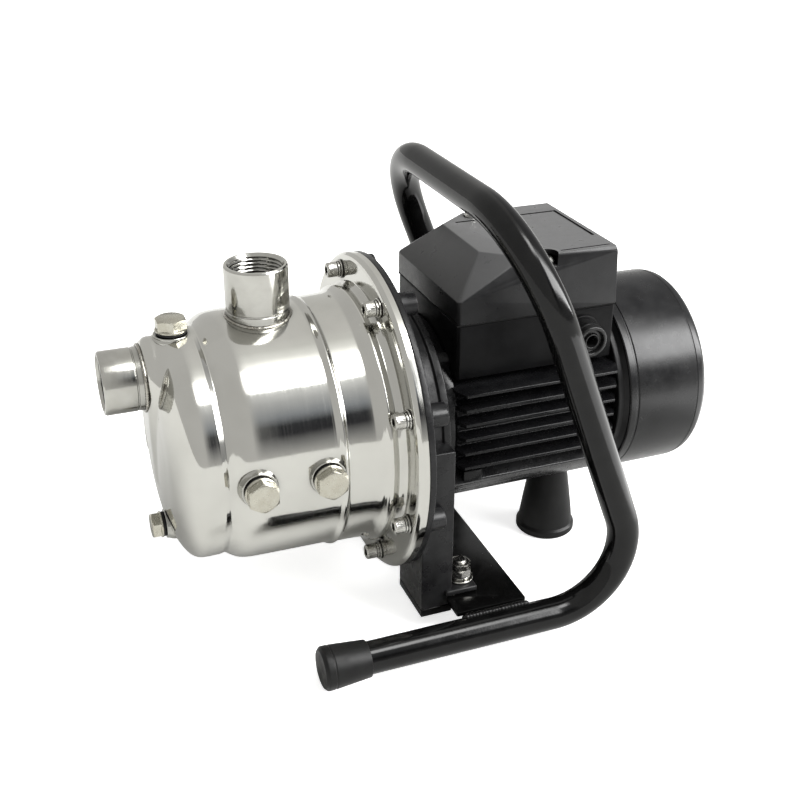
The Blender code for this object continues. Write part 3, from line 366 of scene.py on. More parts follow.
def merge(objects):
    """Joins meshes without a boolean, into the first one."""
    work = bmesh.new()
    for obj in objects:
        work.from_mesh(obj.data)
    first = objects[0]
    for obj in objects[1:]:
        bpy.data.objects.remove(obj)
    work.to_mesh(first.data)
    work.free()
    return first


def combine(target, tools, operation):
    """Boolean of a target with tools that don't overlap each other."""
    tool = merge(tools)
    modifier = target.modifiers.new("combine", "BOOLEAN")
    modifier.operation = operation
    modifier.solver = "EXACT"
    modifier.object = tool
    settle(target)
    bpy.data.objects.remove(tool)
    return target


def cut(target, *tools):
    return combine(target, list(tools), "DIFFERENCE")


def join(target, *tools):
    return combine(target, list(tools), "UNION")


def bevel(obj, width, segments=2, angle=32):
    modifier = obj.modifiers.new("bevel", "BEVEL")
    modifier.width = width
    modifier.segments = segments
    modifier.limit_method = "ANGLE"
    modifier.angle_limit = math.radians(angle)
    modifier.use_clamp_overlap = True
    modifier.miter_outer = "MITER_ARC"
    return settle(obj)


def finish_piece(obj, node, slot_name, angle=35, look=None, body=PUMP):
    """Shades a piece and puts it on its body, in place of a CAD node if one is named.

    Its finish is the one of its material slot, unless another look is named.
    """
    obj.data.shade_smooth()
    obj.data.set_sharp_from_angle(angle=math.radians(angle))
    obj.data.materials.clear()
    obj.data.materials.append(MATERIALS[look or slot_name])
    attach(obj, body)
    if node:
        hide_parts(node)


def rounded(points, segments=5):
    """Polyline with its corners rounded; a corner is (u, v), or (u, v, radius) if it is round."""
    corners = [Vector((*point[:2], 0)) for point in points]
    result = []
    for index, (point, corner) in enumerate(zip(points, corners)):
        if len(point) == 2:
            result.append(point)
            continue
        radius = point[2]
        before = corners[index - 1] - corner
        after = corners[(index + 1) % len(points)] - corner
        half = before.angle(after) / 2
        reach = min(radius / math.tan(half), before.length * 0.49, after.length * 0.49)
        start = corner + before.normalized() * reach
        end = corner + after.normalized() * reach
        for step in range(segments + 1):
            t = step / segments
            spot = start * (1 - t) ** 2 + corner * (2 * t * (1 - t)) + end * t ** 2
            result.append((spot.x, spot.y))
    return result


def washer(name, at, direction, low, high, inner, outer, edges=(0.0003, 0.0003), steps=60):
    """Flat ring with rounded outer edges."""
    profile = rounded([(low, inner), (low, outer, edges[0]), (high, outer, edges[1]),
                       (high, inner)], 3)
    return revolve(name, profile, at, direction, steps)


def refined(points, step):
    """Polyline resampled so that no piece of it is longer than a step."""
    result = [points[0]]
    for a, b in zip(points, points[1:]):
        length = math.hypot(b[0] - a[0], b[1] - a[1])
        count = max(1, math.ceil(length / step))
        for index in range(1, count + 1):
            t = index / count
            result.append((a[0] + (b[0] - a[0]) * t, a[1] + (b[1] - a[1]) * t))
    return result


def spline(points, per_span=6):
    """Centripetal-like smooth curve through points (Catmull-Rom on chord length)."""
    data = [Vector(p) for p in points]
    result = []
    for index in range(len(data) - 1):
        p1, p2 = data[index], data[index + 1]
        p0 = data[index - 1] if index else p1 * 2 - p2
        p3 = data[index + 2] if index + 2 < len(data) else p2 * 2 - p1
        chord = (p2 - p1).length
        m1 = (p2 - p0) / max((p2 - p1).length + (p1 - p0).length, 1e-9) * chord
        m2 = (p3 - p1) / max((p3 - p2).length + (p2 - p1).length, 1e-9) * chord
        for step in range(per_span):
            t = step / per_span
            t2, t3 = t * t, t * t * t
            spot = (p1 * (2 * t3 - 3 * t2 + 1) + m1 * (t3 - 2 * t2 + t)
                    + p2 * (3 * t2 - 2 * t3) + m2 * (t3 - t2))
            result.append(tuple(spot))
    result.append(tuple(data[-1]))
    return result


def arc(radius, start, end, steps):
    """Points of an arc around the origin of a plane, from one angle to another."""
    turn = (end - start) / steps
    return [(radius * math.cos(start + turn * step), radius * math.sin(start + turn * step))
            for step in range(steps + 1)]


def bend(centre, radius, turn, first, second):
    """Points of a bent bar's centre line, turning from one unit vector towards another."""
    return [tuple(Vector(centre) + first * a + second * b) for a, b in arc(radius, 0.0, turn, 36)]


# ---------------------------------------------------------------- materials
def add_node(tree, kind, output, inputs, **settings):
    """Adds a shader node. Its inputs are named or numbered, and take a value or a socket."""
    node = tree.nodes.new("ShaderNode" + kind)
    for key, value in settings.items():
        setattr(node, key, value)
    feed(tree, node, inputs)
    return node.outputs[output]


def feed(tree, node, inputs):
    for key, value in inputs.items():
        if isinstance(value, bpy.types.NodeSocket):
            tree.links.new(value, node.inputs[key])
        else:
            node.inputs[key].default_value = value


def noise(tree, vector, scale, detail=3.0):
    inputs = {"Vector": vector, "Scale": scale, "Detail": detail, "Roughness": 0.55}
    return add_node(tree, "TexNoise", "Fac", inputs)


def remap(tree, value, low, high, to_low, to_high):
    limits = {"From Min": low, "From Max": high, "To Min": to_low, "To Max": to_high}
    return add_node(tree, "MapRange", "Result", {"Value": value, **limits})


def bump(tree, height, depth, below=None):
    inputs = {"Strength": 1.0, "Distance": depth, "Height": height}
    if below:
        inputs["Normal"] = below
    return add_node(tree, "Bump", "Normal", inputs)


def arithmetic(tree, operation, *values):
    return add_node(tree, "Math", "Value", dict(enumerate(values)), operation=operation)


def part_of(tree, vector, axis):
    return add_node(tree, "SeparateXYZ", axis, {"Vector": vector})


def mix_colour(tree, factor, first, second):
    first, second = [(*c, 1.0) if isinstance(c, tuple) else c for c in (first, second)]
    return add_node(tree, "Mix", 2, {0: factor, 6: first, 7: second}, data_type="RGBA")


def surface_colour(tree, coords, colour, tint, speck, top_sheen, hollow_shade):
    """Colour that drifts to a tint, with specks, a painted sheen on faces that look up and painted
    shade in the hollows.
    """
    darker, tint_scale = tint
    drift = remap(tree, noise(tree, coords, tint_scale), 0.35, 0.65, 0.0, 1.0)
    base = mix_colour(tree, drift, colour, darker or tuple(c * 0.86 for c in colour))
    if speck:
        speck_colour, speck_scale = speck
        spots = remap(tree, noise(tree, coords, speck_scale, 2.0), 0.60, 0.72, 0.0, 1.0)
        base = mix_colour(tree, spots, base, speck_colour)
    # Painted sheen: faces that look up are lightened, standing in for the light they catch from above.
    if top_sheen:
        normal = add_node(tree, "NewGeometry", "Normal", {})
        upward_share = remap(tree, part_of(tree, normal, "Z"), 0.40, 1.0, 0.0, 1.0)
        base = mix_colour(tree, upward_share, base, top_sheen)
    # Painted shade: ambient occlusion darkens hollows, creases and recesses.
    if hollow_shade:
        hollow = add_node(tree, "AmbientOcclusion", "AO", {"Distance": hollow_shade}, samples=8)
        unshaded_share = remap(tree, hollow, 0.30, 0.92, 0.0, 1.0)
        base = mix_colour(tree, unshaded_share, tuple(c * 0.30 for c in colour), base)
    return base


def surface(name, colour, roughness, metallic=0.0, specular=0.5, tint=(None, 60),
            spread=(0.06, 140), grain=(1500, 0.00002), grain_detail=3.0, stretch=(1, 1, 1),
            ripple=None, speck=None, top_sheen=None, hollow_shade=0.0):
    """A procedural finish: colour drift, roughness drift, a fine grain and a slow ripple.

    tint and speck are (colour, scale), spread is (amount, scale), grain and ripple are
    (scale, depth in metres). Scales are in cycles per metre: 1000 means about a millimetre.
    Faces that look up get a painted sheen of a lighter colour; hollows narrower than the shade's reach
    get painted shade from ambient occlusion.
    """
    material = bpy.data.materials.new(name)
    material.use_nodes = True
    tree = material.node_tree
    coords = add_node(tree, "TexCoord", "Object", {})
    along = add_node(tree, "Mapping", "Vector", {"Vector": coords, "Scale": stretch})
    amount, spread_scale = spread
    uneven = noise(tree, along, spread_scale, 4.0)
    below = bump(tree, noise(tree, coords, ripple[0], 1.5), ripple[1]) if ripple else None
    feed(tree, tree.nodes["Principled BSDF"], {
        "Base Color": surface_colour(tree, coords, colour, tint, speck, top_sheen, hollow_shade),
        "Roughness": remap(tree, uneven, 0.3, 0.7, roughness - amount, roughness + amount),
        "Normal": bump(tree, noise(tree, along, grain[0], grain_detail), grain[1], below),
        "Metallic": metallic,
        "Specular IOR Level": specular,
    })
    return material


ROUND_X = (1.0, 0.03, 0.03)       # grain runs around the X axis
ROUND_Z = (0.03, 0.03, 1.0)       # grain runs around the Z axis


METAL = {"metallic": 1.0}
STEEL = {**METAL, "stretch": ROUND_X}
SCREW = {**METAL, "spread": (0.08, 900), "grain": (2500, 0.00001)}
# Socket bores and the hollows of the steels and screws get painted shade through ambient occlusion.
SOCKET = {**METAL, "spread": (0.05, 900), "grain": (1600, 0.000006), "hollow_shade": 0.030}
FINISHES = {
    "polished_steel": dict(
        STEEL, colour=(0.60, 0.595, 0.56), roughness=0.085, tint=((0.555, 0.55, 0.515), 30),
        spread=(0.035, 900), grain=(1400, 0.0000055), ripple=(45, 0.00010), hollow_shade=0.005),
    "socket_steel": dict(
        SOCKET, colour=(0.56, 0.555, 0.52), roughness=0.13, tint=((0.49, 0.485, 0.45), 80),
        stretch=ROUND_Z),
    "suction_steel": dict(
        SOCKET, colour=(0.52, 0.515, 0.48), roughness=0.15, tint=((0.44, 0.435, 0.40), 80),
        stretch=ROUND_X),
    "weld_steel": dict(
        METAL, colour=(0.46, 0.45, 0.41), roughness=0.24, tint=((0.33, 0.31, 0.27), 220),
        spread=(0.10, 500), grain=(900, 0.00005), hollow_shade=0.004),
    "plug_nickel": dict(
        METAL, colour=(0.54, 0.525, 0.455), roughness=0.24, tint=((0.48, 0.46, 0.39), 160),
        spread=(0.06, 700), grain=(2600, 0.000008), speck=((0.44, 0.42, 0.35), 1900),
        hollow_shade=0.004),
    "zinc_screw": dict(
        SCREW, colour=(0.58, 0.575, 0.54), roughness=0.22, tint=((0.42, 0.41, 0.38), 260),
        hollow_shade=0.004),
    # Lit and shaded copies of the zinc screw finish: the lighter one is a painted highlight for the
    # far lid screw, the darker one is painted shade for the near screw in its notch.
    "lit_zinc_screw": dict(
        SCREW, colour=(0.72, 0.715, 0.68), roughness=0.30, tint=((0.60, 0.59, 0.56), 260)),
    "shaded_zinc_screw": dict(
        SCREW, colour=(0.10, 0.10, 0.095), roughness=0.40, tint=((0.06, 0.06, 0.055), 260)),
    "seal_rubber": dict(
        colour=(0.012, 0.012, 0.012), roughness=0.62, specular=0.3, grain=(2200, 0.00003)),
    "ejector_plastic": dict(colour=(0.045, 0.045, 0.05), roughness=0.42, grain=(1800, 0.00002)),
    "impeller_brass": dict(
        METAL, colour=(0.72, 0.53, 0.25), roughness=0.28, grain=(1500, 0.00004)),
    "seal_carbon": dict(colour=(0.035, 0.035, 0.04), roughness=0.38, grain=(2600, 0.00001)),
    "seal_ceramic": dict(colour=(0.84, 0.83, 0.79), roughness=0.28, grain=(2000, 0.00001)),
    "bracket_paint": dict(
        colour=(0.007, 0.007, 0.0075), roughness=0.30, specular=0.26,
        tint=((0.015, 0.015, 0.0155), 90), grain=(900, 0.00005),
        ripple=(160, 0.00020), speck=((0.014, 0.014, 0.014), 1500)),
    "shaft_steel": dict(STEEL, colour=(0.55, 0.55, 0.56), roughness=0.22, grain=(1800, 0.00001)),
    "lamination_steel": dict(
        STEEL, colour=(0.35, 0.35, 0.36), roughness=0.45, grain=(2000, 0.00008)),
    "bearing_steel": dict(
        STEEL, colour=(0.60, 0.60, 0.62), roughness=0.18, grain=(2000, 0.00001)),
    "winding_copper": dict(
        METAL, colour=(0.60, 0.25, 0.12), roughness=0.36, grain=(1300, 0.00030),
        stretch=(1.0, 0.15, 0.15)),
    "frame_paint": dict(
        colour=(0.0035, 0.0035, 0.004), roughness=0.26, specular=0.24,
        tint=((0.006, 0.006, 0.0065), 110), grain=(1100, 0.00003), ripple=(220, 0.00008),
        speck=((0.012, 0.012, 0.012), 1700)),
    "shield_paint": dict(
        colour=(0.007, 0.007, 0.0075), roughness=0.36, specular=0.3, grain=(1200, 0.00005)),
    "fan_plastic": dict(colour=(0.026, 0.026, 0.027), roughness=0.45, grain=(1700, 0.00003)),
    "cover_paint": dict(
        colour=(0.006, 0.006, 0.0065), roughness=0.24, specular=0.32,
        tint=((0.012, 0.012, 0.0125), 70), spread=(0.04, 140), grain=(2600, 0.000016)),
    # The lid's plastic is lightened on faces that look up, a painted sheen for light caught from
    # above.
    "box_plastic": dict(
        colour=(0.005, 0.005, 0.0055), roughness=0.32, specular=0.24,
        tint=((0.009, 0.009, 0.0095), 60), spread=(0.05, 140), grain=(2400, 0.00005),
        grain_detail=2.0, top_sheen=(0.105, 0.105, 0.106)),
    # A darker, less reflective copy of the box plastic for the tray: painted shade under the lid's
    # overhang.
    "shaded_box_plastic": dict(
        colour=(0.003, 0.003, 0.0032), roughness=0.34, specular=0.10,
        tint=((0.005, 0.005, 0.0053), 60), spread=(0.05, 140), grain=(2400, 0.00005),
        grain_detail=2.0),
    "gasket_rubber": dict(
        colour=(0.006, 0.006, 0.006), roughness=0.7, specular=0.2, grain=(1800, 0.00003)),
    "capacitor_can": dict(
        METAL, colour=(0.75, 0.75, 0.74), roughness=0.32, grain=(1500, 0.00001)),
    "terminal_plastic": dict(colour=(0.78, 0.76, 0.68), roughness=0.45, grain=(1800, 0.00002)),
    "gland_plastic": dict(
        colour=(0.007, 0.007, 0.007), roughness=0.28, specular=0.36, grain=(1900, 0.00002)),
    "tube_paint": dict(
        colour=(0.002, 0.002, 0.002), roughness=0.10, specular=0.30,
        tint=((0.004, 0.004, 0.004), 120), spread=(0.04, 140), grain=(900, 0.00002),
        grain_detail=1.5, ripple=(120, 0.00004)),
    "plate_paint": dict(
        colour=(0.002, 0.002, 0.002), roughness=0.22, specular=0.26, grain=(800, 0.00003)),
    "foot_rubber": dict(
        colour=(0.005, 0.005, 0.005), roughness=0.40, specular=0.22,
        tint=((0.008, 0.008, 0.008), 80), spread=(0.08, 140), grain=(1500, 0.00004)),
}


MATERIALS = {name: surface(name, **looks) for name, looks in FINISHES.items()}


def carry_over_materials():
    """Gives every CAD node that stays visible the procedural finish of its material slot."""
    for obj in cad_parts.values():
        if obj.hide_render:
            continue
        for slot in obj.material_slots:
            slot.material = MATERIALS[slot.material.name.split(".")[0]]


# ---------------------------------------------------------------- pump casing
CASING_STEPS = 288
CAP_END_X = -0.06
CAP_END_R = 0.0776
NOSE_CENTRE_X = -0.105
NOSE_REAR_X = -0.1055
FACE_BACK_X = -0.1335
ARROW_HEIGHT = 0.0005
ARROW_EDGE = 0.0010
ARROW_Y = 0.036
ARROW_FOOT_Z = SHAFT_Z - 0.020
ARROW_LENGTH = 0.030
ARROW_HALF = 0.0022
ARROW_HEAD = 0.0115
ARROW_FLARE = 0.55


def casing_profile():
    """Outer profile of the casing, from the middle of its front face to its rear edge."""
    front = spline([
        (-0.1412, 0.0), (-0.1409, 0.020), (-0.1402, 0.030), (-0.1396, 0.036), (-0.1388, 0.044),
        (-0.1374, 0.051), (-0.1354, 0.0575), (-0.1328, 0.0635), (-0.1298, 0.0683),
        (-0.1268, 0.0710), (-0.1230, 0.0722), (-0.1130, 0.0723),
    ], 7)
    neck = spline([
        (-0.1130, 0.0723), (-0.1112, 0.0719), (-0.1097, 0.0716), (-0.1082, 0.0722),
        (-0.1050, 0.0743), (-0.1015, 0.0762), (-0.0970, 0.0772), (-0.0900, 0.0776),
        (-0.0480, 0.0780),
    ], 7)
    bead = spline([
        (-0.0480, 0.0780), (-0.0458, 0.0782), (-0.0444, 0.0790), (-0.0430, 0.0797),
        (-0.0418, 0.0795), (-0.0406, 0.0788), (-0.0390, 0.0787), (-0.0240, 0.0792),
        (-0.0205, 0.0799), (-0.0182, 0.0814), (-0.0166, 0.0826), (-0.0148, 0.0829),
        (-0.0130, 0.0824), (-0.0115, 0.0819), (-0.0098, 0.0822), (-0.0082, 0.0832),
    ], 7)
    rim = rounded([
        (-0.0082, 0.0832), (FLANGE_FRONT_X, 0.0848, 0.0012), (FLANGE_FRONT_X, 0.0985, 0.0010),
        (-0.0062, 0.1004, 0.0016), (-0.0042, FLANGE_R, 0.0016), (-GAP, FLANGE_R),
    ], 5)
    return front[:-1] + neck[:-1] + bead[:-1] + rim


def profile_distance(points, outline):
    """Signed distance of (height, radius) points to a closed outline, negative inside."""
    ax, ay = outline[:, 0], outline[:, 1]
    bx, by = np.roll(ax, -1), np.roll(ay, -1)
    px, py = points[:, 0][:, None], points[:, 1][:, None]
    ex, ey = bx - ax, by - ay
    wx, wy = px - ax, py - ay
    share = np.clip((wx * ex + wy * ey) / np.maximum(ex * ex + ey * ey, 1e-18), 0, 1)
    nearest = np.sqrt(np.min((wx - ex * share) ** 2 + (wy - ey * share) ** 2, axis=1))
    crosses = ((ay > py) != (by > py)) & (px < (bx - ax) * (py - ay) / (by - ay + 1e-18) + ax)
    inside = np.sum(crosses, axis=1) % 2 == 1
    return np.where(inside, -nearest, nearest)


def nose_distance(x, y, z):
    """Signed distance to the raised boss that carries the suction socket.

    Its cross-section is the hull of two circles; its front edge is rounded and sinks lower down.
    """
    span = NOSE_TOP_Z - NOSE_LOW_Z
    drop = (NOSE_TOP_Z - z) / span
    share = np.clip(drop, 0, 1)
    radius = NOSE_TOP_R + (NOSE_LOW_R - NOSE_TOP_R) * share
    side = np.sqrt(y ** 2 + (z - (NOSE_TOP_Z - span * share)) ** 2) - radius
    ahead = NOSE_FRONT_X + np.clip(drop, 0, 1.4) ** 2 * NOSE_SINK - x
    u, v = side + NOSE_EDGE_R, ahead + NOSE_EDGE_R
    outside = np.sqrt(np.maximum(u, 0) ** 2 + np.maximum(v, 0) ** 2)
    return np.minimum(np.maximum(u, v), 0) + outside - NOSE_EDGE_R


def smooth_union(a, b, blend):
    h = np.maximum(blend - np.abs(a - b), 0) / blend
    return np.minimum(a, b) - h * h * blend / 4


def lift_nose(points):
    """Moves the cap's points outwards to the blended surface of the cap and its nose."""
    outline = [p for p in casing_profile() if p[0] < CAP_END_X]
    outline = np.array(outline + [(CAP_END_X, CAP_END_R), (CAP_END_X, 0.0)])
    centre = np.array((NOSE_CENTRE_X, 0.0, SHAFT_Z))
    near = (points[:, 0] < NOSE_REAR_X) & (points[:, 2] > NOSE_LOW_Z - 0.030)
    start = points[near]
    ray = start - centre
    reach = np.linalg.norm(ray, axis=1)
    ray = ray / reach[:, None]
    low = np.maximum(reach - 0.004, 0.0)
    high = reach + 0.030

    def distance(t):
        p = centre + ray * t[:, None]
        radius = np.sqrt(p[:, 1] ** 2 + (p[:, 2] - SHAFT_Z) ** 2)
        cap = profile_distance(np.stack((p[:, 0], radius), axis=1), outline)
        nose = nose_distance(p[:, 0], p[:, 1], p[:, 2])
        return smooth_union(cap, nose, NOSE_BLEND)

    for _ in range(16):
        middle = (low + high) / 2
        inside = distance(middle) < 0
        low = np.where(inside, middle, low)
        high = np.where(inside, high, middle)
    middle = (low + high) / 2
    moved = centre + ray * middle[:, None]
    points = points.copy()
    points[near] = np.where((middle > reach - 0.0005)[:, None], moved, start)
    return points


def emboss_arrow(points):
    """A shallow raised flow arrow, pointing up, on the far half of the front face."""
    y, z = points[:, 1], points[:, 2]
    along = (ARROW_FOOT_Z + ARROW_LENGTH) - z
    across = np.abs(y - ARROW_Y)
    shaft = np.minimum(ARROW_HALF - across, np.minimum(along, ARROW_LENGTH - along))
    head = np.minimum(along * ARROW_FLARE - across, ARROW_HEAD - along)
    depth = np.clip(np.maximum(shaft, head) / ARROW_EDGE, 0, 1)
    points = points.copy()
    points[:, 0] -= np.where(points[:, 0] < FACE_BACK_X, depth * ARROW_HEIGHT, 0)
    return points


def pump_casing():
    """Pressed shell with its nose, flow arrow and holes."""
    outer = refined(casing_profile(), 0.0013)
    inner = [
        (-GAP, 0.0810), (-0.0072, 0.0810), (-0.0200, 0.0768), (-0.0980, 0.0748),
        (-0.1085, 0.0698), (-0.1225, 0.0698), (-0.1290, 0.0660), (-0.1340, 0.0560),
        (-0.1372, 0.0420), (-0.1385, 0.0240), (-0.1390, 0.0),
    ]
    casing = revolve("casing_shell", outer + inner, (0.0, 0.0, SHAFT_Z), "+X", CASING_STEPS)
    verts = casing.data.vertices
    outside = [*range((len(outer) - 1) * CASING_STEPS), len(verts) - 2]
    points = np.array([design(verts[index].co) for index in outside])
    for index, point in zip(outside, emboss_arrow(lift_nose(points))):
        verts[index].co = place(*point)
    holes = [
        rod("hole", (-0.160, 0.0, SUCTION_Z), 0.0285, SOCKET_R + GAP, "+X", 96),
        rod("hole", (DISCHARGE_X, 0.0, SHAFT_Z + 0.06), 0.04, SOCKET_R + GAP, "+Z", 96),
    ]
    for at, direction, scale in PLUG_PLACES.values():
        start = Vector(at) - AXES[direction] @ Vector((0, 0, 0.012))
        radius = PLUG_THREAD_R * scale + BORE_CLEARANCE
        holes.append(rod("hole", start, 0.022, radius, direction, 32))
    for y, rise in SCREW_PLACES:
        holes.append(rod("hole", (-0.02, y, SHAFT_Z + rise), 0.04, SCREW_HOLE_R, "+X", 24))
    return cut(casing, *holes)


SCREW_PLACES = [(SCREW_CIRCLE_R * math.cos(angle), SCREW_CIRCLE_R * math.sin(angle))
                for angle in [math.pi * (2 * index + 1) / SCREW_COUNT for index in range(SCREW_COUNT)]]


def plug_seat(name, direction):
    """Seat centre of a plug, read from the CAD box of its sealing ring."""
    low, high = design_box(name + "_seal")
    at = (low + high) / 2
    axis = "XYZ".index(direction[1])
    at[axis] = low[axis] - GAP / 2 if direction[0] == "+" else high[axis] + GAP / 2
    return tuple(at)


PLUG_PLACES = {
    "filler_plug": (plug_seat("filler_plug", "+Z"), "+Z", 1.0),
    "drain_plug": (plug_seat("drain_plug", "-X"), "-X", DRAIN_SCALE),
    "front_side_plug": (plug_seat("front_side_plug", "-Y"), "-Y", 1.0),
    "rear_side_plug": (plug_seat("rear_side_plug", "-Y"), "-Y", 1.0),
}
BOSS_DEPTH = {name: 0.0040 if name == "filler_plug" else 0.0060 for name in PLUG_PLACES}


def plug_boss(name):
    """The short bushing a plug screws into, with a rounded edge and a weld fillet."""
    at, direction, scale = PLUG_PLACES[name]
    bore = PLUG_THREAD_R * scale + BORE_CLEARANCE
    outer = PLUG_BOSS_R * scale
    deep = -BOSS_DEPTH[name]
    profile = rounded([
        (deep, bore), (deep, outer + 0.0014, 0.0005), (deep + 0.0020, outer + 0.0012, 0.0012),
        (-0.0012, outer), (0.0, outer, 0.0007), (0.0, bore),
    ], 4)
    return revolve(name + "_boss", profile, at, direction, 72)


# ---------------------------------------------------------------- sockets
def thread_shape(bore, pitch, depth, low, high):
    """Shape function for a helical thread between two heights; a negative depth cuts inwards."""
    def shape(height, radius, angle):
        if abs(radius - bore) > 1e-6 or not low <= height <= high:
            return height, radius
        phase = (height / pitch - angle / (2 * math.pi)) % 1.0
        wave = 1.0 - abs(phase * 2 - 1)
        wave = min(1.0, max(0.0, wave * 1.5 - 0.25))
        fade = min(1.0, (height - low) / pitch, (high - height) / pitch)
        return height, radius + depth * wave * max(0.0, fade)
    return shape


def socket(name, length, at, direction, collar):
    """Pipe socket with a helical female thread, a chamfered mouth and a turned collar line."""
    outer = rounded([
        (0.0, SOCKET_R - 0.0006), (0.0006, SOCKET_R), (collar, SOCKET_R, 0.0002),
        (collar + 0.0003, SOCKET_R - 0.0004, 0.0001), (collar + 0.0009, SOCKET_R - 0.0004, 0.0001),
        (collar + 0.0012, SOCKET_R, 0.0002), (length - 0.0010, SOCKET_R, 0.0006),
        (length, SOCKET_R - 0.0008),
    ], 4)
    mouth = 0.0017
    face = [(length, SOCKET_BORE_R + 0.0015), (length - mouth, SOCKET_BORE_R + 0.0002)]
    bore_end = length - mouth
    wall = refined([(bore_end, SOCKET_BORE_R), (0.0, SOCKET_BORE_R)], THREAD_PITCH / 8)
    shape = thread_shape(SOCKET_BORE_R, THREAD_PITCH, THREAD_DEPTH, 0.002, bore_end + 0.002)
    return revolve(name, outer + face + wall, at, direction, 96, shape)


def weld_bead(name, count, spot, seed):
    """Bead of stacked ripples on a closed path; spot(angle) is a design-frame point of it."""
    def wobble(index, angle):
        turn = index / count * 2 * math.pi
        ripple = math.sin(turn * 31 + seed) * 0.55 + math.sin(turn * 7 + seed * 2.3) * 0.45
        return 1.0 + 0.10 * ripple * (0.6 + 0.4 * math.cos(angle))

    path = [place(*spot(angle)) for angle in angles(count)]
    return sweep(name, path, WELD_R, 14, wobble, True)


def suction_weld_spot(angle):
    radius = SOCKET_R + 0.0007
    y, rise = radius * math.cos(angle), radius * math.sin(angle)
    return NOSE_FRONT_X - 0.0001, y, SUCTION_Z + rise


def casing_radius(x):
    profile = np.array(casing_profile())
    return float(np.interp(x, profile[:, 0], profile[:, 1]))


def discharge_weld_spot(angle):
    radius = SOCKET_R + 0.0004
    x, y = DISCHARGE_X + radius * math.cos(angle), radius * math.sin(angle)
    barrel = casing_radius(x) + 0.0001
    return x, y, SHAFT_Z + math.sqrt(barrel ** 2 - y ** 2)


# ---------------------------------------------------------------- plugs and screws
HEX_STEPS = 96


def hex_radius(angle, flat):
    return flat / math.cos((angle + math.pi / 6) % (math.pi / 3) - math.pi / 6)


def hex_head(name, at, direction, low, high, flat, bore=0.0, chamfer_low=False, turn=0.0):
    """Hexagon head or nut with 30 degree chamfers that leave a round face."""
    point = turned(at, direction)
    face_r = flat * 0.955
    slope = math.tan(math.radians(30))
    rows = 9
    dish = 0.00015

    def ring(share, reach):
        """Points at a share of the height and at a reach from the round face to the edge."""
        points = []
        for angle in angles(HEX_STEPS):
            overhang = (hex_radius(angle + turn, flat) - face_r) * reach
            bottom = low + overhang * slope if chamfer_low else low
            top = high - overhang * slope
            points.append(point(face_r + overhang, angle, bottom + (top - bottom) * share))
        return points

    rings = [ring(0.0, 0.0), ring(0.0, 0.5)] if chamfer_low else []
    rings += [ring(row / rows, 1.0) for row in range(rows + 1)]
    rings += [ring(1.0, 0.5), ring(1.0, 0.0)]
    if bore:
        rings += [[point(bore, angle, height) for angle in angles(HEX_STEPS)]
                  for height in (high, low)]
        return ring_solid(name, rings)
    return ring_solid(name, rings, (point(0, 0, low), point(0, 0, high - dish)))


def plug(name):
    """Hexagon plug: chamfered head, washer face and a threaded shank."""
    at, direction, scale = PLUG_PLACES[name]
    seal = PLUG_SEAL + GAP
    washer_top = seal + PLUG_WASHER
    thread_r = PLUG_THREAD_R * scale
    washer_r = PLUG_WASHER_R * scale
    shank = refined([(-PLUG_THREAD + 0.0008, thread_r), (seal, thread_r)], 0.0002)
    profile = [(-PLUG_THREAD, 0.0), (-PLUG_THREAD, thread_r - 0.0010)] + shank
    profile += rounded([
        (seal, thread_r + 0.0001), (seal, washer_r - 0.0002), (seal + 0.0003, washer_r, 0.0002),
        (washer_top - 0.0006, washer_r, 0.0003), (washer_top, washer_r - 0.0009, 0.0003),
        (washer_top, PLUG_FLAT * scale * 0.9),
    ], 3)
    profile.append((washer_top, 0.0))
    shape = thread_shape(thread_r, 0.0013, -0.0006, -PLUG_THREAD + 0.0004, seal - 0.0004)
    body = revolve(name + "_body", profile, at, direction, 64, shape)
    head_top = washer_top - 0.0008 + PLUG_HEAD * scale
    head = hex_head("head", at, direction, washer_top - 0.0004, head_top, PLUG_FLAT * scale)
    return join(body, head)


def plug_seal(name):
    at, direction, scale = PLUG_PLACES[name]
    low, high = GAP / 2, GAP / 2 + PLUG_SEAL
    outer = PLUG_WASHER_R * scale - 0.0005
    inner = PLUG_THREAD_R * scale + GAP
    profile = rounded([
        (low, inner, 0.0004), (low, outer, 0.0006), (high, outer, 0.0006), (high, inner, 0.0004),
    ], 4)
    return revolve(name + "_ring", profile, at, direction, 72)


def flange_screw(name, y, rise):
    """Socket head screw with a knurled head over a spring washer and a flat washer."""
    base = -(FLANGE_FRONT_X - GAP)
    at = (0.0, y, SHAFT_Z + rise)
    head_low, head_high, head_r = base + 0.0028, base + 0.0096, 0.0048
    tip = SCREW_TIP_X

    def knurl(height, radius, angle):
        if radius < head_r - 0.0002 or not head_low + 0.0004 < height < head_high - 0.0012:
            return height, radius
        return height, radius - 0.00016 * (0.5 + 0.5 * math.cos(angle * 30))

    head = [
        (-tip, 0.0), (-tip, 0.0022), (-tip + 0.0008, 0.0030), (head_low, 0.0030),
        (head_low, head_r - 0.0003), (head_low + 0.0003, head_r), (head_low + 0.0006, head_r),
        (head_high - 0.0014, head_r), (head_high - 0.0010, head_r - 0.00005),
        (head_high - 0.0004, head_r - 0.0003), (head_high, head_r - 0.0009),
        (head_high, 0.0031), (head_high - 0.0003, 0.0028), (head_high - 0.0003, 0.0),
    ]
    screw = revolve(name, head, at, "-X", 120, knurl)
    cut(screw, rod("recess", (-head_high + 0.0045, y, SHAFT_Z + rise), 0.01, 0.0026, "-X", 6))
    flat = washer("flat_washer", at, "-X", base, base + 0.0011, 0.0032, 0.0060)
    spring = washer("spring_washer", at, "-X", base + 0.0013, base + 0.0026, 0.0032, 0.0051)
    cut(spring, block("gap", (-base - 0.0030, y - 0.0004, SHAFT_Z + rise + 0.002),
                      (-base - 0.0012, y + 0.0004, SHAFT_Z + rise + 0.007)))
    return merge([screw, flat, spring])


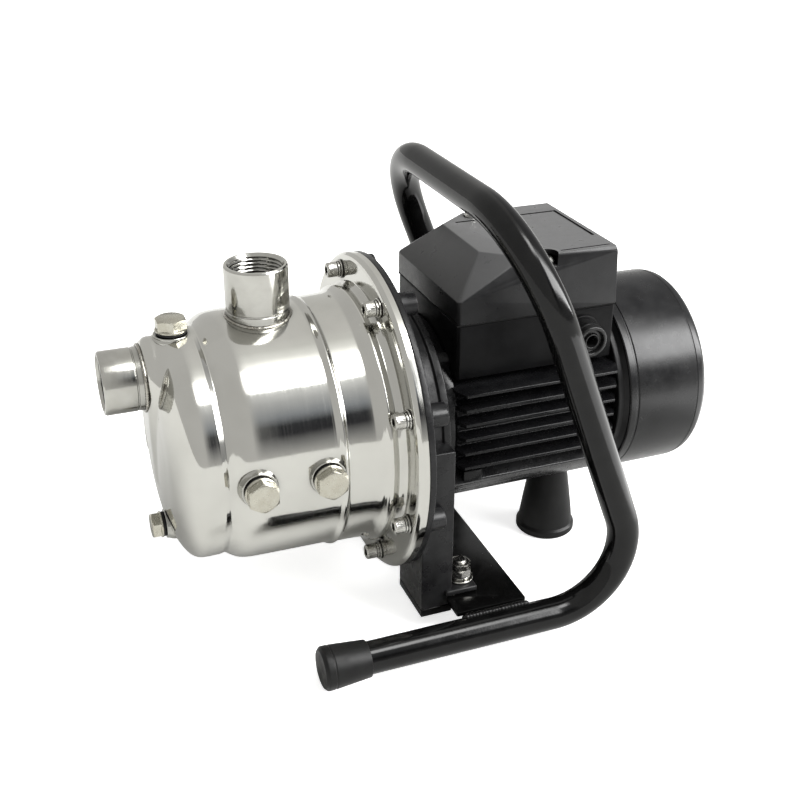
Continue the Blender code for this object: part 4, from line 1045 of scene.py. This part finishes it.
def build_pump_end():
    finish_piece(pump_casing(), "pump_casing", "polished_steel", 28)
    for name in PLUG_PLACES:
        finish_piece(plug_boss(name), None, "polished_steel", look="socket_steel")
    suction = socket("suction_pipe", SUCTION_HIGH.x - SUCTION_LOW.x,
                     (SUCTION_HIGH.x, 0.0, SUCTION_Z), "-X", 0.0135)
    discharge = socket("discharge_pipe", SOCKET_HIGH.z - SOCKET_LOW.z,
                       (DISCHARGE_X, 0.0, SOCKET_LOW.z), "+Z", 0.0085)
    finish_piece(suction, "suction_socket", "socket_steel", look="suction_steel")
    finish_piece(discharge, "discharge_socket", "socket_steel")
    for weld in (weld_bead("suction_weld", 180, suction_weld_spot, 0.7),
                 weld_bead("discharge_weld", 220, discharge_weld_spot, 2.1)):
        finish_piece(weld, None, "polished_steel", 60, "weld_steel")
    for name in PLUG_PLACES:
        body = name.removesuffix("_plug")
        finish_piece(plug(name), name, "plug_nickel", body=body)
        finish_piece(plug_seal(name), name + "_seal", "seal_rubber", body=body)
    for index, (y, rise) in enumerate(SCREW_PLACES, 1):
        finish_piece(flange_screw(f"flange_bolt_{index}", y, rise), f"flange_screw_{index}",
                     "zinc_screw")


# ---------------------------------------------------------------- bracket and motor
def tie_holes(start, length):
    return [rod("hole", (start, side * y, SHAFT_Z + rise), length, TIE_HOLE_R, "+X", 16)
            for side in (-1, 1) for y, rise in TIE_PLACES]


def foot_holes():
    return [rod("hole", (BOLT_MID_X, side * BOLT_MID_Y, 0.01), 0.03, FOOT_HOLE_R, "+Z", 32)
            for side in (-1, 1)]


def motor_bracket():
    """Cast bracket: flange, stepped lantern, screw bosses, two legs and two bolt lugs."""
    flange = BRACKET_FLANGE
    step = STEP_BACK_X
    profile = rounded([
        (0.0, 0.0150), (0.0, FLANGE_R - 0.0002, 0.0009), (flange, FLANGE_R - 0.0002, 0.0009),
        (flange, STEP_R + 0.0005, 0.0012), (step - 0.0006, STEP_R - 0.0006, 0.0009),
        (step, 0.0735, 0.0010), (step + 0.0030, LANTERN_R + 0.0002, 0.0020),
        (0.0215, 0.0685, 0.0008), (0.0225, LANTERN_R, 0.0006), (LANTERN_BACK_X, LANTERN_R, 0.0008),
        (LANTERN_BACK_X, 0.0560), (flange, 0.0560), (flange, 0.0240), (0.0260, 0.0230, 0.0005),
        (0.0260, 0.0178), (0.0115, 0.0178), (0.0115, 0.0150),
    ], 4)
    bracket = revolve("bracket", profile, (0.0, 0.0, SHAFT_Z), "+X", 144)
    for side in (-1, 1):
        inner, outer = side * LEG_INNER_Y, side * LEG_OUTER_Y
        outline = [(inner, SOLE_TOP_Z), (outer, SOLE_TOP_Z), (outer, 0.125),
                   (side * 0.066, 0.125), (inner, 0.095)]
        join(bracket, bevel(prism("leg", outline, LEG_FRONT_X, LEG_BACK_X), 0.0010, 3))
        low, high = sorted((side * LUG_INNER_Y, side * LUG_OUTER_Y))
        lug = block("lug", (0.020, low, PLATE_HIGH.z + GAP), (LUG_BACK_X, high, LUG_TOP_Z))
        join(bracket, bevel(lug, 0.0012, 3))
    back = SCREW_BOSS_BACK_X
    for y, rise in SCREW_PLACES:
        boss = revolve("boss", rounded([
            (0.0025, 0.0), (0.0025, SCREW_BOSS_R + 0.0008),
            (flange + 0.0004, SCREW_BOSS_R + 0.0008), (flange + 0.0012, SCREW_BOSS_R, 0.0006),
            (back, SCREW_BOSS_R - 0.0004, 0.0010), (back, 0.0),
        ], 3), (0.0, y, SHAFT_Z + rise), "+X", 36)
        join(bracket, boss)
    cut(bracket, *foot_holes(), *tie_holes(0.012, 0.03))
    depth = 0.01 + SCREW_TIP_X + 0.0008
    return cut(bracket, *[rod("hole", (-0.01, y, SHAFT_Z + rise), depth, 0.0032, "+X", 20)
                          for y, rise in SCREW_PLACES])


def leg_sole(name, side):
    """Darker, glossier bottom block of a bracket leg."""
    inner, outer = sorted((side * LEG_INNER_Y, side * LEG_OUTER_Y))
    sole = block(name, (LEG_FRONT_X, inner, LEG_BOTTOM_Z), (LEG_BACK_X, outer, SOLE_TOP_Z))
    return bevel(sole, 0.0007, 3)


def frame_outline():
    """Cross-section of the finned frame, as (y, z), with rounded fin tips and roots."""
    half = arc(FRAME_LOWER_R, -math.pi / 2, APRON_TURN - math.pi / 2, 16)
    half[-1] = (*half[-1], 0.0010)
    half.append((math.sqrt(FRAME_CORE_R ** 2 - APRON_DROP ** 2), -APRON_DROP, 0.0012))
    for index in range(FIN_COUNT):
        rise = FIN_LOWEST + index * FIN_PITCH
        low, high = rise - FIN_THICKNESS / 2, rise + FIN_THICKNESS / 2
        root_low, root_high = [math.sqrt(FRAME_CORE_R ** 2 - level ** 2) for level in (low, high)]
        half += [(root_low, low - 0.0003, 0.0012), (FIN_TIP_Y, low + 0.0003, 0.0007),
                 (FIN_TIP_Y, high - 0.0003, 0.0007), (root_high, high + 0.0003, 0.0012)]
    start = math.asin((FIN_LOWEST + (FIN_COUNT - 1) * FIN_PITCH + 0.006) / FRAME_CORE_R)
    half += arc(FRAME_CORE_R, start, math.pi / 2, 12)
    outline = half + [(-y, *rest) for y, *rest in reversed(half[1:-1])]
    return [(y, SHAFT_Z + rise) for y, rise in rounded(outline, 3)]


def lower_apron():
    """The lower part of the frame reaches forward to the bracket, around the spigot."""
    edge = arc(FRAME_LOWER_R, -APRON_TURN - math.pi / 2, APRON_TURN - math.pi / 2, 48)
    ends = (LANTERN_BACK_X + GAP, FRAME_FRONT_X + 0.001)
    return hull("lower_apron", [(x, y, SHAFT_Z + rise) for x in ends for y, rise in edge])


def motor_frame():
    """Die-cast frame: fins with slanted ends, tie-bolt ribs, a corner lug and a foot pad."""
    body = prism("motor_housing", frame_outline(), FRAME_FRONT_X, FRAME_BACK_X)
    start = LANTERN_BACK_X + GAP
    join(body, rod("spigot", (start, 0.0, SHAFT_Z), 0.0097, SPIGOT_R, "+X", 96))
    for side in (-1, 1):
        for y, rise in TIE_PLACES:
            join(body, rod("rib", (start, side * y, SHAFT_Z + rise), FRAME_BACK_X - start,
                           TIE_RIB_R, "+X", 28))
        low, high = sorted(side * y for y in FRAME_LUG_Y)
        lug = block("lug", (FRAME_FRONT_X + 0.007, low, SHAFT_Z - 0.0350),
                    (FRAME_FRONT_X + 0.020, high, SHAFT_Z - APRON_DROP))
        join(body, bevel(lug, 0.0010, 2))
    join(body, lower_apron())
    pad_z = SHAFT_Z - FRAME_LOWER_R - 0.0012
    join(body, rod("pad", (REAR_FOOT_X, 0.0, pad_z), 0.02, FOOT_PAD_R, "+Z", 48))
    wedges = []
    for side in (-1, 1):
        for end, sign in ((FRAME_FRONT_X, 1), (FRAME_BACK_X, -1)):
            root, tip = side * FIN_SLANT_ROOT_Y, side * FIN_SLANT_TIP_Y
            outline = [(end - sign * 0.001, root), (end, root),
                       (end + sign * FIN_SLANT, tip), (end - sign * 0.001, tip)]
            wedges.append(prism("wedge", outline, SHAFT_Z - 0.024, SHAFT_Z + 0.036, "XY"))
    cut(body, *wedges)
    bore = rod("bore", (0.020, 0.0, SHAFT_Z), 0.14, STATOR_R + GAP, "+X", 96)
    cut(body, bore, *tie_holes(0.020, 0.14))
    return bevel(body, 0.0004, 2, 50)


def rear_end_shield():
    front = FRAME_BACK_X + GAP
    profile = rounded([
        (0.1360, 0.0178), (0.1360, 0.0230, 0.0004), (front, 0.0230), (front, 0.0605, 0.0010),
        (0.1520, 0.0605, 0.0008), (0.1545, 0.0636, 0.0006), (0.1600, 0.0636, 0.0004),
        (0.1600, 0.0600, 0.0004), (0.1520, 0.0585, 0.001), (0.1520, 0.0086, 0.0004),
        (0.1485, 0.0086), (0.1485, 0.0178),
    ], 3)
    shield = revolve("end_shield", profile, (0.0, 0.0, SHAFT_Z), "+X", 144)
    return cut(shield, *tie_holes(0.140, 0.02))


def sector(name, inner_r, outer_r, middle, half_width, start, end):
    """Arc-shaped slot cutter around the shaft, with ends parallel to its middle radius."""
    outline = []
    for radius, order in ((inner_r, 1), (outer_r, -1)):
        spread = order * math.asin(half_width / radius)
        edge = [(y, SHAFT_Z + z) for y, z in arc(radius, middle - spread, middle + spread, 10)]
        outline += [(*edge[0], 0.0008), *edge[1:-1], (*edge[-1], 0.0008)]
    return prism(name, rounded(outline, 3), start, end)


def fan_cover():
    """Pressed fan cover: rolled front lip, bead, rounded shoulder and a slotted dished back."""
    radius, back = COVER_R, COVER_HIGH.x
    front = COVER_LOW.x
    outer = rounded([
        (front, radius - 0.0006), (front + 0.0006, radius, 0.0005),
        (front + 0.0046, radius, 0.0005), (front + 0.0052, radius - 0.0006, 0.0003),
        (front + 0.0062, radius - 0.0006, 0.0003), (front + 0.0068, radius - 0.0001, 0.0005),
        (back - 0.0096, radius - 0.0001, 0.0002), (back - 0.0092, radius - 0.0005, 0.0002),
        (back - 0.0085, radius - 0.0005, 0.0002), (back - 0.0081, radius - 0.0002, 0.0003),
        (back - 0.0040, 0.0650, 0.0050), (back - 0.0012, 0.0626, 0.0030), (back, 0.0592, 0.0030),
        (back, 0.0560, 0.0008), (back - 0.0012, 0.0530, 0.0010), (back - 0.0012, 0.0140, 0.0010),
        (back, 0.0110, 0.0008), (back, 0.0),
    ], 6)
    wall = COVER_WALL
    inner = rounded([
        (back - wall - 0.0014, 0.0), (back - wall - 0.0014, 0.0560, 0.001),
        (back - wall - 0.0012, 0.0600, 0.003), (back - 0.0080, radius - wall - 0.0004, 0.003),
        (front, radius - wall - 0.0004),
    ], 6)
    cover = revolve("cover", inner + outer, (0.0, 0.0, SHAFT_Z), "+X", 160)
    slots = []
    for inner_r, outer_r, count, half_width in GRILLE_RINGS:
        for angle in angles(count):
            slots.append(sector("slot", inner_r, outer_r, angle + math.pi / count, half_width,
                                back - 0.0060, back + 0.0030))
    return cut(cover, *slots)


def build_motor():
    finish_piece(motor_bracket(), "motor_bracket", "bracket_paint", 40)
    for side, label in SIDES:
        finish_piece(leg_sole(f"leg_sole_{label}", side), None, "plate_paint")
    finish_piece(motor_frame(), "motor_frame", "frame_paint", 40)
    finish_piece(rear_end_shield(), "rear_end_shield", "shield_paint")
    finish_piece(fan_cover(), "fan_cover", "cover_paint", 40)


# ---------------------------------------------------------------- terminal box
def box_outline(inset):
    """Plan of the terminal box with cut front corners and small rear ones."""
    front, back, side = BOX_FRONT_X + inset, BOX_BACK_X - inset, BOX_HALF_Y - inset
    half = [(front, -side + BOX_CORNER), (front + BOX_CORNER, -side), (back - 0.0008, -side),
            (back, -side + 0.0008)]
    return half + [(x, -y) for x, y in reversed(half)]


def terminal_box_base():
    """Open tray over the frame, with an arched floor and the cable entry's raised hood."""
    base = prism("box_tray", box_outline(0.0006), BASE_LOW.z, BASE_HIGH.z, "XY")
    bevel(base, 0.0005, 2)
    hood = revolve("hood", rounded([
        (0.040, 0.0), (0.040, HOOD_R), (HOOD_Y, HOOD_R, 0.0008), (HOOD_Y, 0.0),
    ], 3), (GLAND_X, 0.0, GLAND_Z), "-Y", 64)
    join(base, hood)
    cut(base, rod("saddle", (0.02, 0.0, SHAFT_Z), 0.15, FRAME_CORE_R + 0.0006, "+X", 96))
    grooves = [rod("groove", (0.02, side * TIE_PLACES[1][0], SHAFT_Z + TIE_PLACES[1][1]),
                   0.15, 0.0062, "+X", 28) for side in (-1, 1)]
    cut(base, *grooves)
    cavity = block("cavity", (BOX_FRONT_X + 0.003, -BOX_HALF_Y + 0.0036, 0.1755),
                   (BOX_BACK_X - 0.003, BOX_HALF_Y - 0.0036, 0.2))
    cut(base, cavity)
    return cut(base, rod("cable_hole", (GLAND_X, -0.040, GLAND_Z + 0.0062), 0.02, CABLE_R,
                         "-Y", 24))


def screw_seat(node):
    """Centre and seat height of a lid screw, read from its CAD box."""
    low, high = design_box(node)
    return (low.x + high.x) / 2, (low.y + high.y) / 2, high.z - SCREW_HEAD


NEAR_SCREW = screw_seat("lid_screw_near")
FAR_SCREW = screw_seat("lid_screw_far")


def lid_corners(inset):
    """Corners of the faceted lid, moved inwards by an inset."""
    low = BOX_SEAM_Z + GAP if inset == 0.0 else BOX_SEAM_Z - 0.004
    top = BOX_TOP_Z - inset
    front, back = BOX_FRONT_X + inset, BOX_BACK_X - inset
    side = BOX_HALF_Y - inset
    slope_z, side_y = LID_SLOPE_Z - inset * 0.6, LID_SIDE_Y - inset
    half = [
        (front + BOX_CORNER, side, low), (front, side - BOX_CORNER, low), (back, side, low),
        (front + BOX_CORNER, side, slope_z + 0.0004), (front, side - BOX_CORNER, slope_z),
        (0.060 + inset * 0.4, 0.028 - inset * 0.4, top), (0.082 + inset * 0.4, side_y, top),
        (back - 0.0008, side_y, top), (back, 0.0472 - inset, top - 0.0030),
    ]
    return [(x, sign * y, z) for sign in (-1, 1) for x, y, z in half]


def terminal_box_lid():
    """Faceted lid with softened edges, screw pockets, a panel groove and a raised side lip."""
    lid = bevel(hull("box_lid", lid_corners(0.0)), 0.0007, 3, 8)
    cut(lid, hull("lid_hollow", lid_corners(0.003)))
    low = BOX_SEAM_Z + GAP
    for screw, shift, notch_r, post_r in ((NEAR_SCREW, -0.0012, 0.0060, 0.0052),
                                          (FAR_SCREW, 0.0, 0.0050, 0.0062)):
        x, y, seat = screw
        floor = seat - GAP
        join(lid, rod("post", (x, y, low), floor - 0.0002 - low, post_r, "+Z", 32))
        cut(lid, rod("pocket", (x, y + shift, floor), 0.02, notch_r, "+Z", 40))
        cut(lid, rod("screw_hole", (x, y, 0.180), 0.06, 0.0023, "+Z", 24))
    depth = BOX_TOP_Z - 0.0010
    over = BOX_TOP_Z + 0.001
    panel = [
        block("groove", (0.0690, 0.0268, depth), (0.1390, 0.0288, over)),
        block("groove", (0.1392, -0.0245, depth), (0.1414, 0.0288, over)),
        block("groove", (0.0850, -0.0436, depth), (0.0905, -0.0424, over)),
        block("groove", (0.1075, -0.0436, depth), (BOX_BACK_X - 0.0040, -0.0424, over)),
    ]
    cut(lid, *panel)
    return bevel(lid, 0.00025, 2, 50)


def lid_screw(name, place_of_screw):
    """Pan head screw with a slot."""
    x, y, low = place_of_screw
    profile = [(low - 0.0265, 0.0), (low - 0.0265, 0.0015), (low - 0.0255, 0.0020), (low, 0.0020)]
    profile += rounded([
        (low, 0.0042), (low + 0.0030, 0.0042, 0.0012), (low + 0.0052, 0.0024, 0.0014),
        (low + 0.0052, 0.0),
    ], 6)
    screw = revolve(name, profile, (x, y, 0.0), "+Z", 48)
    slot = block("slot", (x - 0.006, y - 0.0005, low + 0.0036), (x + 0.006, y + 0.0005, low + 0.01))
    return cut(screw, slot)


def cable_gland():
    """Round cable entry: rolled outer lip, recess and a narrow conical hole."""
    tip = -GLAND_LOW.y
    profile = rounded([
        (HOOD_Y, CABLE_R), (HOOD_Y, GLAND_R), (tip - 0.0052, GLAND_R, 0.0004),
        (tip - 0.0046, GLAND_R - 0.0004, 0.0003), (tip - 0.0040, GLAND_R - 0.0001, 0.0004),
        (tip, GLAND_R - 0.0006, 0.0012), (tip, 0.0078, 0.0008), (tip - 0.0030, 0.0070, 0.0005),
        (tip - 0.0030, 0.0052, 0.0004), (tip - 0.0010, 0.0048, 0.0004),
        (tip - 0.0010, 0.0040, 0.0004), (tip - 0.0060, CABLE_R, 0.0003),
    ], 5)
    return revolve("gland", profile, (GLAND_X, 0.0, GLAND_Z), "-Y", 72)


def build_terminal_box():
    # The tray gets the darker copy of the box plastic, which is painted shade under the lid.
    finish_piece(terminal_box_base(), "terminal_box_base", "box_plastic", 30, "shaded_box_plastic")
    finish_piece(terminal_box_lid(), "terminal_box_lid", "box_plastic", 22)
    # The near lid screw gets the shaded copy of zinc, which is painted shade; the far one gets the lit
    # copy, which is a painted highlight.
    for label, spot, look in (("near", NEAR_SCREW, "shaded_zinc_screw"), ("far", FAR_SCREW, "lit_zinc_screw")):
        finish_piece(lid_screw(f"box_screw_{label}", spot), f"lid_screw_{label}", "zinc_screw",
                     look=look)
    finish_piece(cable_gland(), "cable_gland", "gland_plastic")


# ---------------------------------------------------------------- carry frame and feet
def frame_path():
    """Centre line of the bent tube from the near skid over the handle to the far one."""
    ahead, down = Vector((1.0, 0.0, 0.0)), Vector((0.0, 0.0, -1.0))
    up = Vector((-LEAN, 0.0, 1.0)).normalized()
    near = [(SKID_FRONT_X, -SKID_Y, SKID_Z), (0.02, -SKID_Y, SKID_Z)]
    turn = math.pi / 2 + math.atan(LEAN)
    near += bend((SKID_BEND_X, -SKID_Y, SKID_Z + SKID_BEND_R), SKID_BEND_R, turn, down, ahead)
    foot_x, foot_z = near[-1][0], near[-1][2]
    handle_x = foot_x - LEAN * (HANDLE_Z - foot_z)
    centre = (handle_x - up.x * HANDLE_BEND_R, -SKID_Y + HANDLE_BEND_R,
              HANDLE_Z - up.z * HANDLE_BEND_R)
    near += bend(centre, HANDLE_BEND_R, math.pi / 2, Vector((0.0, -1.0, 0.0)), up)
    return near + [(x, -y, z) for x, y, z in reversed(near)]


def cross_plate():
    low, high = PLATE_LOW, PLATE_HIGH
    tab, inner = TAB_DEPTH, TAB_INNER_Y
    outline = rounded([
        (low.x, -high.y, 0.0015), (high.x, -high.y, 0.0015), (high.x, high.y, 0.0015),
        (low.x, high.y, 0.0015), (low.x, inner, 0.002), (low.x + tab, inner, 0.003),
        (low.x + tab, -inner, 0.003), (low.x, -inner, 0.002),
    ], 5)
    plate = bevel(prism("base_plate", outline, low.z, high.z, "XY"), 0.0005, 2, 50)
    return cut(plate, *foot_holes())


def plate_weld(name, side):
    """Fillet weld between the plate and a skid tube, on top of the plate."""
    y = side * (SKID_Y - math.sqrt(TUBE_R ** 2 - (PLATE_HIGH.z - SKID_Z) ** 2) - 0.0002)
    path = []
    count = 90
    for index in range(count + 1):
        x = PLATE_LOW.x + 0.001 + (PLATE_HIGH.x - PLATE_LOW.x - 0.002) * index / count
        path.append(place(x, y, PLATE_HIGH.z + 0.0002))

    def ripple(index, angle):
        end = min(1.0, 0.4 + 0.12 * min(index, count - index))
        return end * (1.0 + 0.16 * math.sin(index * 1.45) + 0.05 * math.sin(index * 0.37 + side))

    return sweep(name, path, PLATE_WELD_R, 16, ripple)


def skid_cap(name, side):
    """Rubber cap with a rolled edge, two mould rings and a flat tread."""
    front, back, radius = CAP_LOW.x, CAP_HIGH.x, (CAP_HIGH.z - SKID_Z)
    bore = TUBE_R + 0.0002
    profile = rounded([
        (front, 0.0), (front, radius - 0.0018, 0.0014), (front + 0.0018, radius, 0.0014),
        (front + 0.0056, radius, 0.0002), (front + 0.0060, radius - 0.0004, 0.0002),
        (front + 0.0066, radius - 0.0004, 0.0002), (front + 0.0070, radius - 0.0001, 0.0002),
        (back, CAP_BACK_R, 0.0005), (back, bore, 0.0003), (SKID_FRONT_X - GAP, bore),
        (SKID_FRONT_X - GAP, 0.0),
    ], 5)

    def tread(height, r, angle):
        drop = -math.sin(angle)
        if drop > 0 and r * drop > SKID_Z:
            r = SKID_Z / drop
        return height, r

    return revolve(name, profile, (0.0, side * SKID_Y, SKID_Z), "+X", 120, tread)


def foot_bolt(name, side):
    """Hexagon bolt from below with a threaded shank."""
    at = (BOLT_MID_X, side * BOLT_MID_Y, 0.0)
    head_top = PLATE_LOW.z - GAP
    tip = BOLT_HIGH.z
    shank = refined([(THREAD_START_Z, BOLT_R), (tip - 0.0006, BOLT_R)], 0.00016)
    profile = [(head_top - 0.0020, 0.0), (head_top - 0.0020, BOLT_R)] + shank
    profile += [(tip, BOLT_R - 0.0007), (tip, 0.0)]
    shape = thread_shape(BOLT_R, BOLT_PITCH, -0.0006, THREAD_START_Z + 0.0005, tip - 0.0004)
    body = revolve(name, profile, at, "+Z", 48, shape)
    return join(body, hex_head("head", at, "-Z", -head_top, -BOLT_LOW.z, NUT_FLAT))


def foot_nut(name, side):
    """Flat washer, spring washer, nut and lock nut on a lug."""
    y = side * BOLT_MID_Y
    at = (BOLT_MID_X, y, 0.0)
    low, top = NUT_LOW.z, NUT_HIGH.z
    flat = washer(name, at, "+Z", low, low + 0.0014, NUT_BORE_R, 0.0085, (0.0004, 0.0005), 72)
    spring = washer("spring", at, "+Z", low + 0.0015, low + 0.0032, NUT_BORE_R, 0.0068,
                    (0.0004, 0.0004), 72)
    cut(spring, block("gap", (BOLT_MID_X - 0.0005, y - 0.010, low + 0.0014),
                      (BOLT_MID_X + 0.0005, y - 0.002, low + 0.0034)))
    nut = hex_head("nut", at, "+Z", low + 0.0034, top, NUT_FLAT, NUT_BORE_R, True, 0.3)
    lock = hex_head("lock", at, "+Z", top + 0.0002, top + 0.0040, 0.0060, NUT_BORE_R, True, 0.75)
    return merge([flat, spring, nut, lock])


def rear_foot():
    """Conical rubber foot with a rolled lip and a hollow underside."""
    top = FOOT_HIGH.z
    wide = (FOOT_HIGH.x - FOOT_LOW.x) / 2
    profile = rounded([
        (0.009, 0.0), (0.009, 0.0075, 0.0008), (0.0, 0.0082, 0.0008), (0.0, wide - 0.0010, 0.0008),
        (0.0012, wide, 0.0008), (0.0050, wide, 0.0010), (0.0068, wide - 0.0015, 0.0014),
        (0.0220, 0.0172, 0.02), (top - 0.004, 0.0132, 0.003), (top, 0.0128, 0.0006), (top, 0.0),
    ], 6)
    return revolve("foot", profile, (REAR_FOOT_X, 0.0, 0.0), "+Z", 96)


def build_carry_frame():
    path = [place(*point) for point in frame_path()]
    finish_piece(sweep("handle_tube", path, TUBE_R, 64), "carry_frame", "tube_paint", 50)
    finish_piece(cross_plate(), "cross_plate", "plate_paint")
    finish_piece(rear_foot(), "rear_foot", "foot_rubber", 40)
    for side, label in SIDES:
        finish_piece(plate_weld(f"plate_weld_{label}", side), None, "plate_paint", 60)
        finish_piece(skid_cap(f"cap_{label}", side), f"skid_cap_{label}", "foot_rubber", 40)
        for build, kind in ((foot_bolt, "bolt"), (foot_nut, "nut")):
            piece = build(f"frame_{kind}_{label}", side)
            finish_piece(piece, f"foot_{kind}_{label}", "zinc_screw")


# ---------------------------------------------------------------- stage
CAMERA_AT = place(-0.2269, -0.6372, 0.4676)
CAMERA_AZIMUTH = math.radians(-21.22)
CAMERA_ELEVATION = math.radians(26.85)
CAMERA_ROLL = math.radians(0.32)
CAMERA_LENS = 52.85


def add_camera():
    camera = bpy.data.objects.new("camera", bpy.data.cameras.new("camera"))
    bpy.context.scene.collection.objects.link(camera)
    swing = Matrix.Rotation(CAMERA_AZIMUTH, 4, "Z")
    tilt = Matrix.Rotation(math.pi / 2 - CAMERA_ELEVATION, 4, "X")
    roll = Matrix.Rotation(CAMERA_ROLL, 4, "Z")
    camera.matrix_world = Matrix.Translation(CAMERA_AT) @ swing @ tilt @ roll
    camera.data.sensor_width = 36
    camera.data.lens = CAMERA_LENS
    bpy.context.scene.camera = camera


FLOOR_WHITE = (0.93, 0.93, 0.93)
FLOOR_HALF = 60.0
FLOOR_LIFT = 0.65
GLOW_SIDES = (("X", 0.28, 1.20, 0.06), ("Y", -0.75, 0.10, 0.08))
GLOW_RADIANCE = 2.0
FLOOR_BOUNCE = (0.64, 0.64, 0.6304)
STUDIO_PEAK = 15.0
STUDIO_PLAIN = (0.66, 0.655, 0.64)
STUDIO_BANDS = (
    (0, (0.58, 0.575, 0.56)), (10, (0.28, 0.28, 0.28)), (19, (0.03, 0.03, 0.035)),
    (27, (0.03, 0.032, 0.036)), (35, (0.32, 0.34, 0.37)), (48, (0.63, 0.64, 0.65)),
    (58, (1.05, 1.06, 1.06)), (65, (13.0, 13.0, 12.9)), (77, (13.0, 13.0, 12.8)),
    (83, (2.20, 2.20, 2.15)), (90, (1.30, 1.30, 1.27)), (99, (0.93, 0.93, 0.90)),
    (111, (0.83, 0.82, 0.80)), (150, (0.72, 0.715, 0.69)), (180, (0.72, 0.715, 0.69)),
)
MOTOR_BANDS = (
    (0, (0.35, 0.35, 0.35)), (20, (0.45, 0.45, 0.45)), (26, (3.0, 3.0, 3.0)),
    (33, (15.0, 15.0, 15.0)), (58, (15.0, 15.0, 15.0)), (66, (5.0, 5.0, 5.0)),
    (78, (0.80, 0.80, 0.80)), (100, (0.50, 0.50, 0.50)), (140, (0.50, 0.50, 0.50)),
    (180, (0.66, 0.655, 0.64)),
)


def add_floor():
    """White ground for the camera; its bounce light on the pump is held back.

    The pump's reflections see a bright patch of it between the sides of GLOW_SIDES.
    """
    half = FLOOR_HALF
    corners = [(-half, -half, 0), (half, -half, 0), (half, half, 0), (-half, half, 0)]
    floor = mesh_object("floor", corners, [(0, 1, 2, 3)])
    floor.location.z = -0.0002
    material = bpy.data.materials.new("floor")
    material.use_nodes = True
    tree = material.node_tree
    seen = add_node(tree, "LightPath", "Is Camera Ray", {})
    glow = add_node(tree, "LightPath", "Is Glossy Ray", {})
    spot = add_node(tree, "NewGeometry", "Position", {})
    for axis, low, high, edge in GLOW_SIDES:
        value = part_of(tree, spot, axis)
        glow = arithmetic(tree, "MULTIPLY", glow, remap(tree, value, low, low + edge, 0.0, 1.0))
        glow = arithmetic(tree, "MULTIPLY", glow, remap(tree, value, high - edge, high, 1.0, 0.0))
    lift = remap(tree, seen, 0.0, 1.0, 0.0, FLOOR_LIFT)
    feed(tree, tree.nodes["Principled BSDF"], {
        "Base Color": mix_colour(tree, seen, FLOOR_BOUNCE, FLOOR_WHITE),
        "Roughness": 0.8,
        "Specular IOR Level": 0.0,
        "Emission Color": (1.0, 1.0, 1.0, 1.0),
        "Emission Strength": arithmetic(tree, "MULTIPLY_ADD", glow, GLOW_RADIANCE, lift),
    })
    floor.data.materials.append(material)


def band_ramp(tree, share, bands):
    """Brightness of the bands at a share of the half turn from one horizon to the other."""
    ramp = tree.nodes.new("ShaderNodeValToRGB")
    elements = ramp.color_ramp.elements
    while len(elements) < len(bands):
        elements.new(1.0)
    for element, (angle, colour) in zip(elements, bands):
        element.position = angle / 180
        element.color = (*(c / STUDIO_PEAK for c in colour), 1.0)
    tree.links.new(share, ramp.inputs["Fac"])
    return ramp.outputs["Color"]


def add_studio():
    """Studio of long bands that run along the shaft: their height sets their brightness.

    The side of the suction socket is plain; the bands sit lower beyond the motor's end.
    """
    world = bpy.data.worlds.new("studio")
    bpy.context.scene.world = world
    world.use_nodes = True
    tree = world.node_tree
    coords = add_node(tree, "TexCoord", "Generated", {})
    x, y, z = [part_of(tree, coords, axis) for axis in "XYZ"]
    pitch = arithmetic(tree, "ARCTAN2", z, arithmetic(tree, "MULTIPLY", y, -1.0))
    share = remap(tree, pitch, 0.0, math.pi, 0.0, 1.0)
    over_casing = remap(tree, x, 0.06, 0.20, 0.0, 1.0)
    over_motor = remap(tree, x, 0.34, 0.44, 0.0, 1.0)
    plain = tuple(c / STUDIO_PEAK for c in STUDIO_PLAIN)
    colour = mix_colour(tree, over_casing, plain, band_ramp(tree, share, STUDIO_BANDS))
    colour = mix_colour(tree, over_motor, colour, band_ramp(tree, share, MOTOR_BANDS))
    feed(tree, tree.nodes["Background"], {"Color": colour, "Strength": STUDIO_PEAK})
    bpy.context.scene.view_settings.view_transform = "Standard"


build_pump_end()
build_motor()
build_terminal_box()
build_carry_frame()
carry_over_materials()
add_camera()
add_floor()
add_studio()
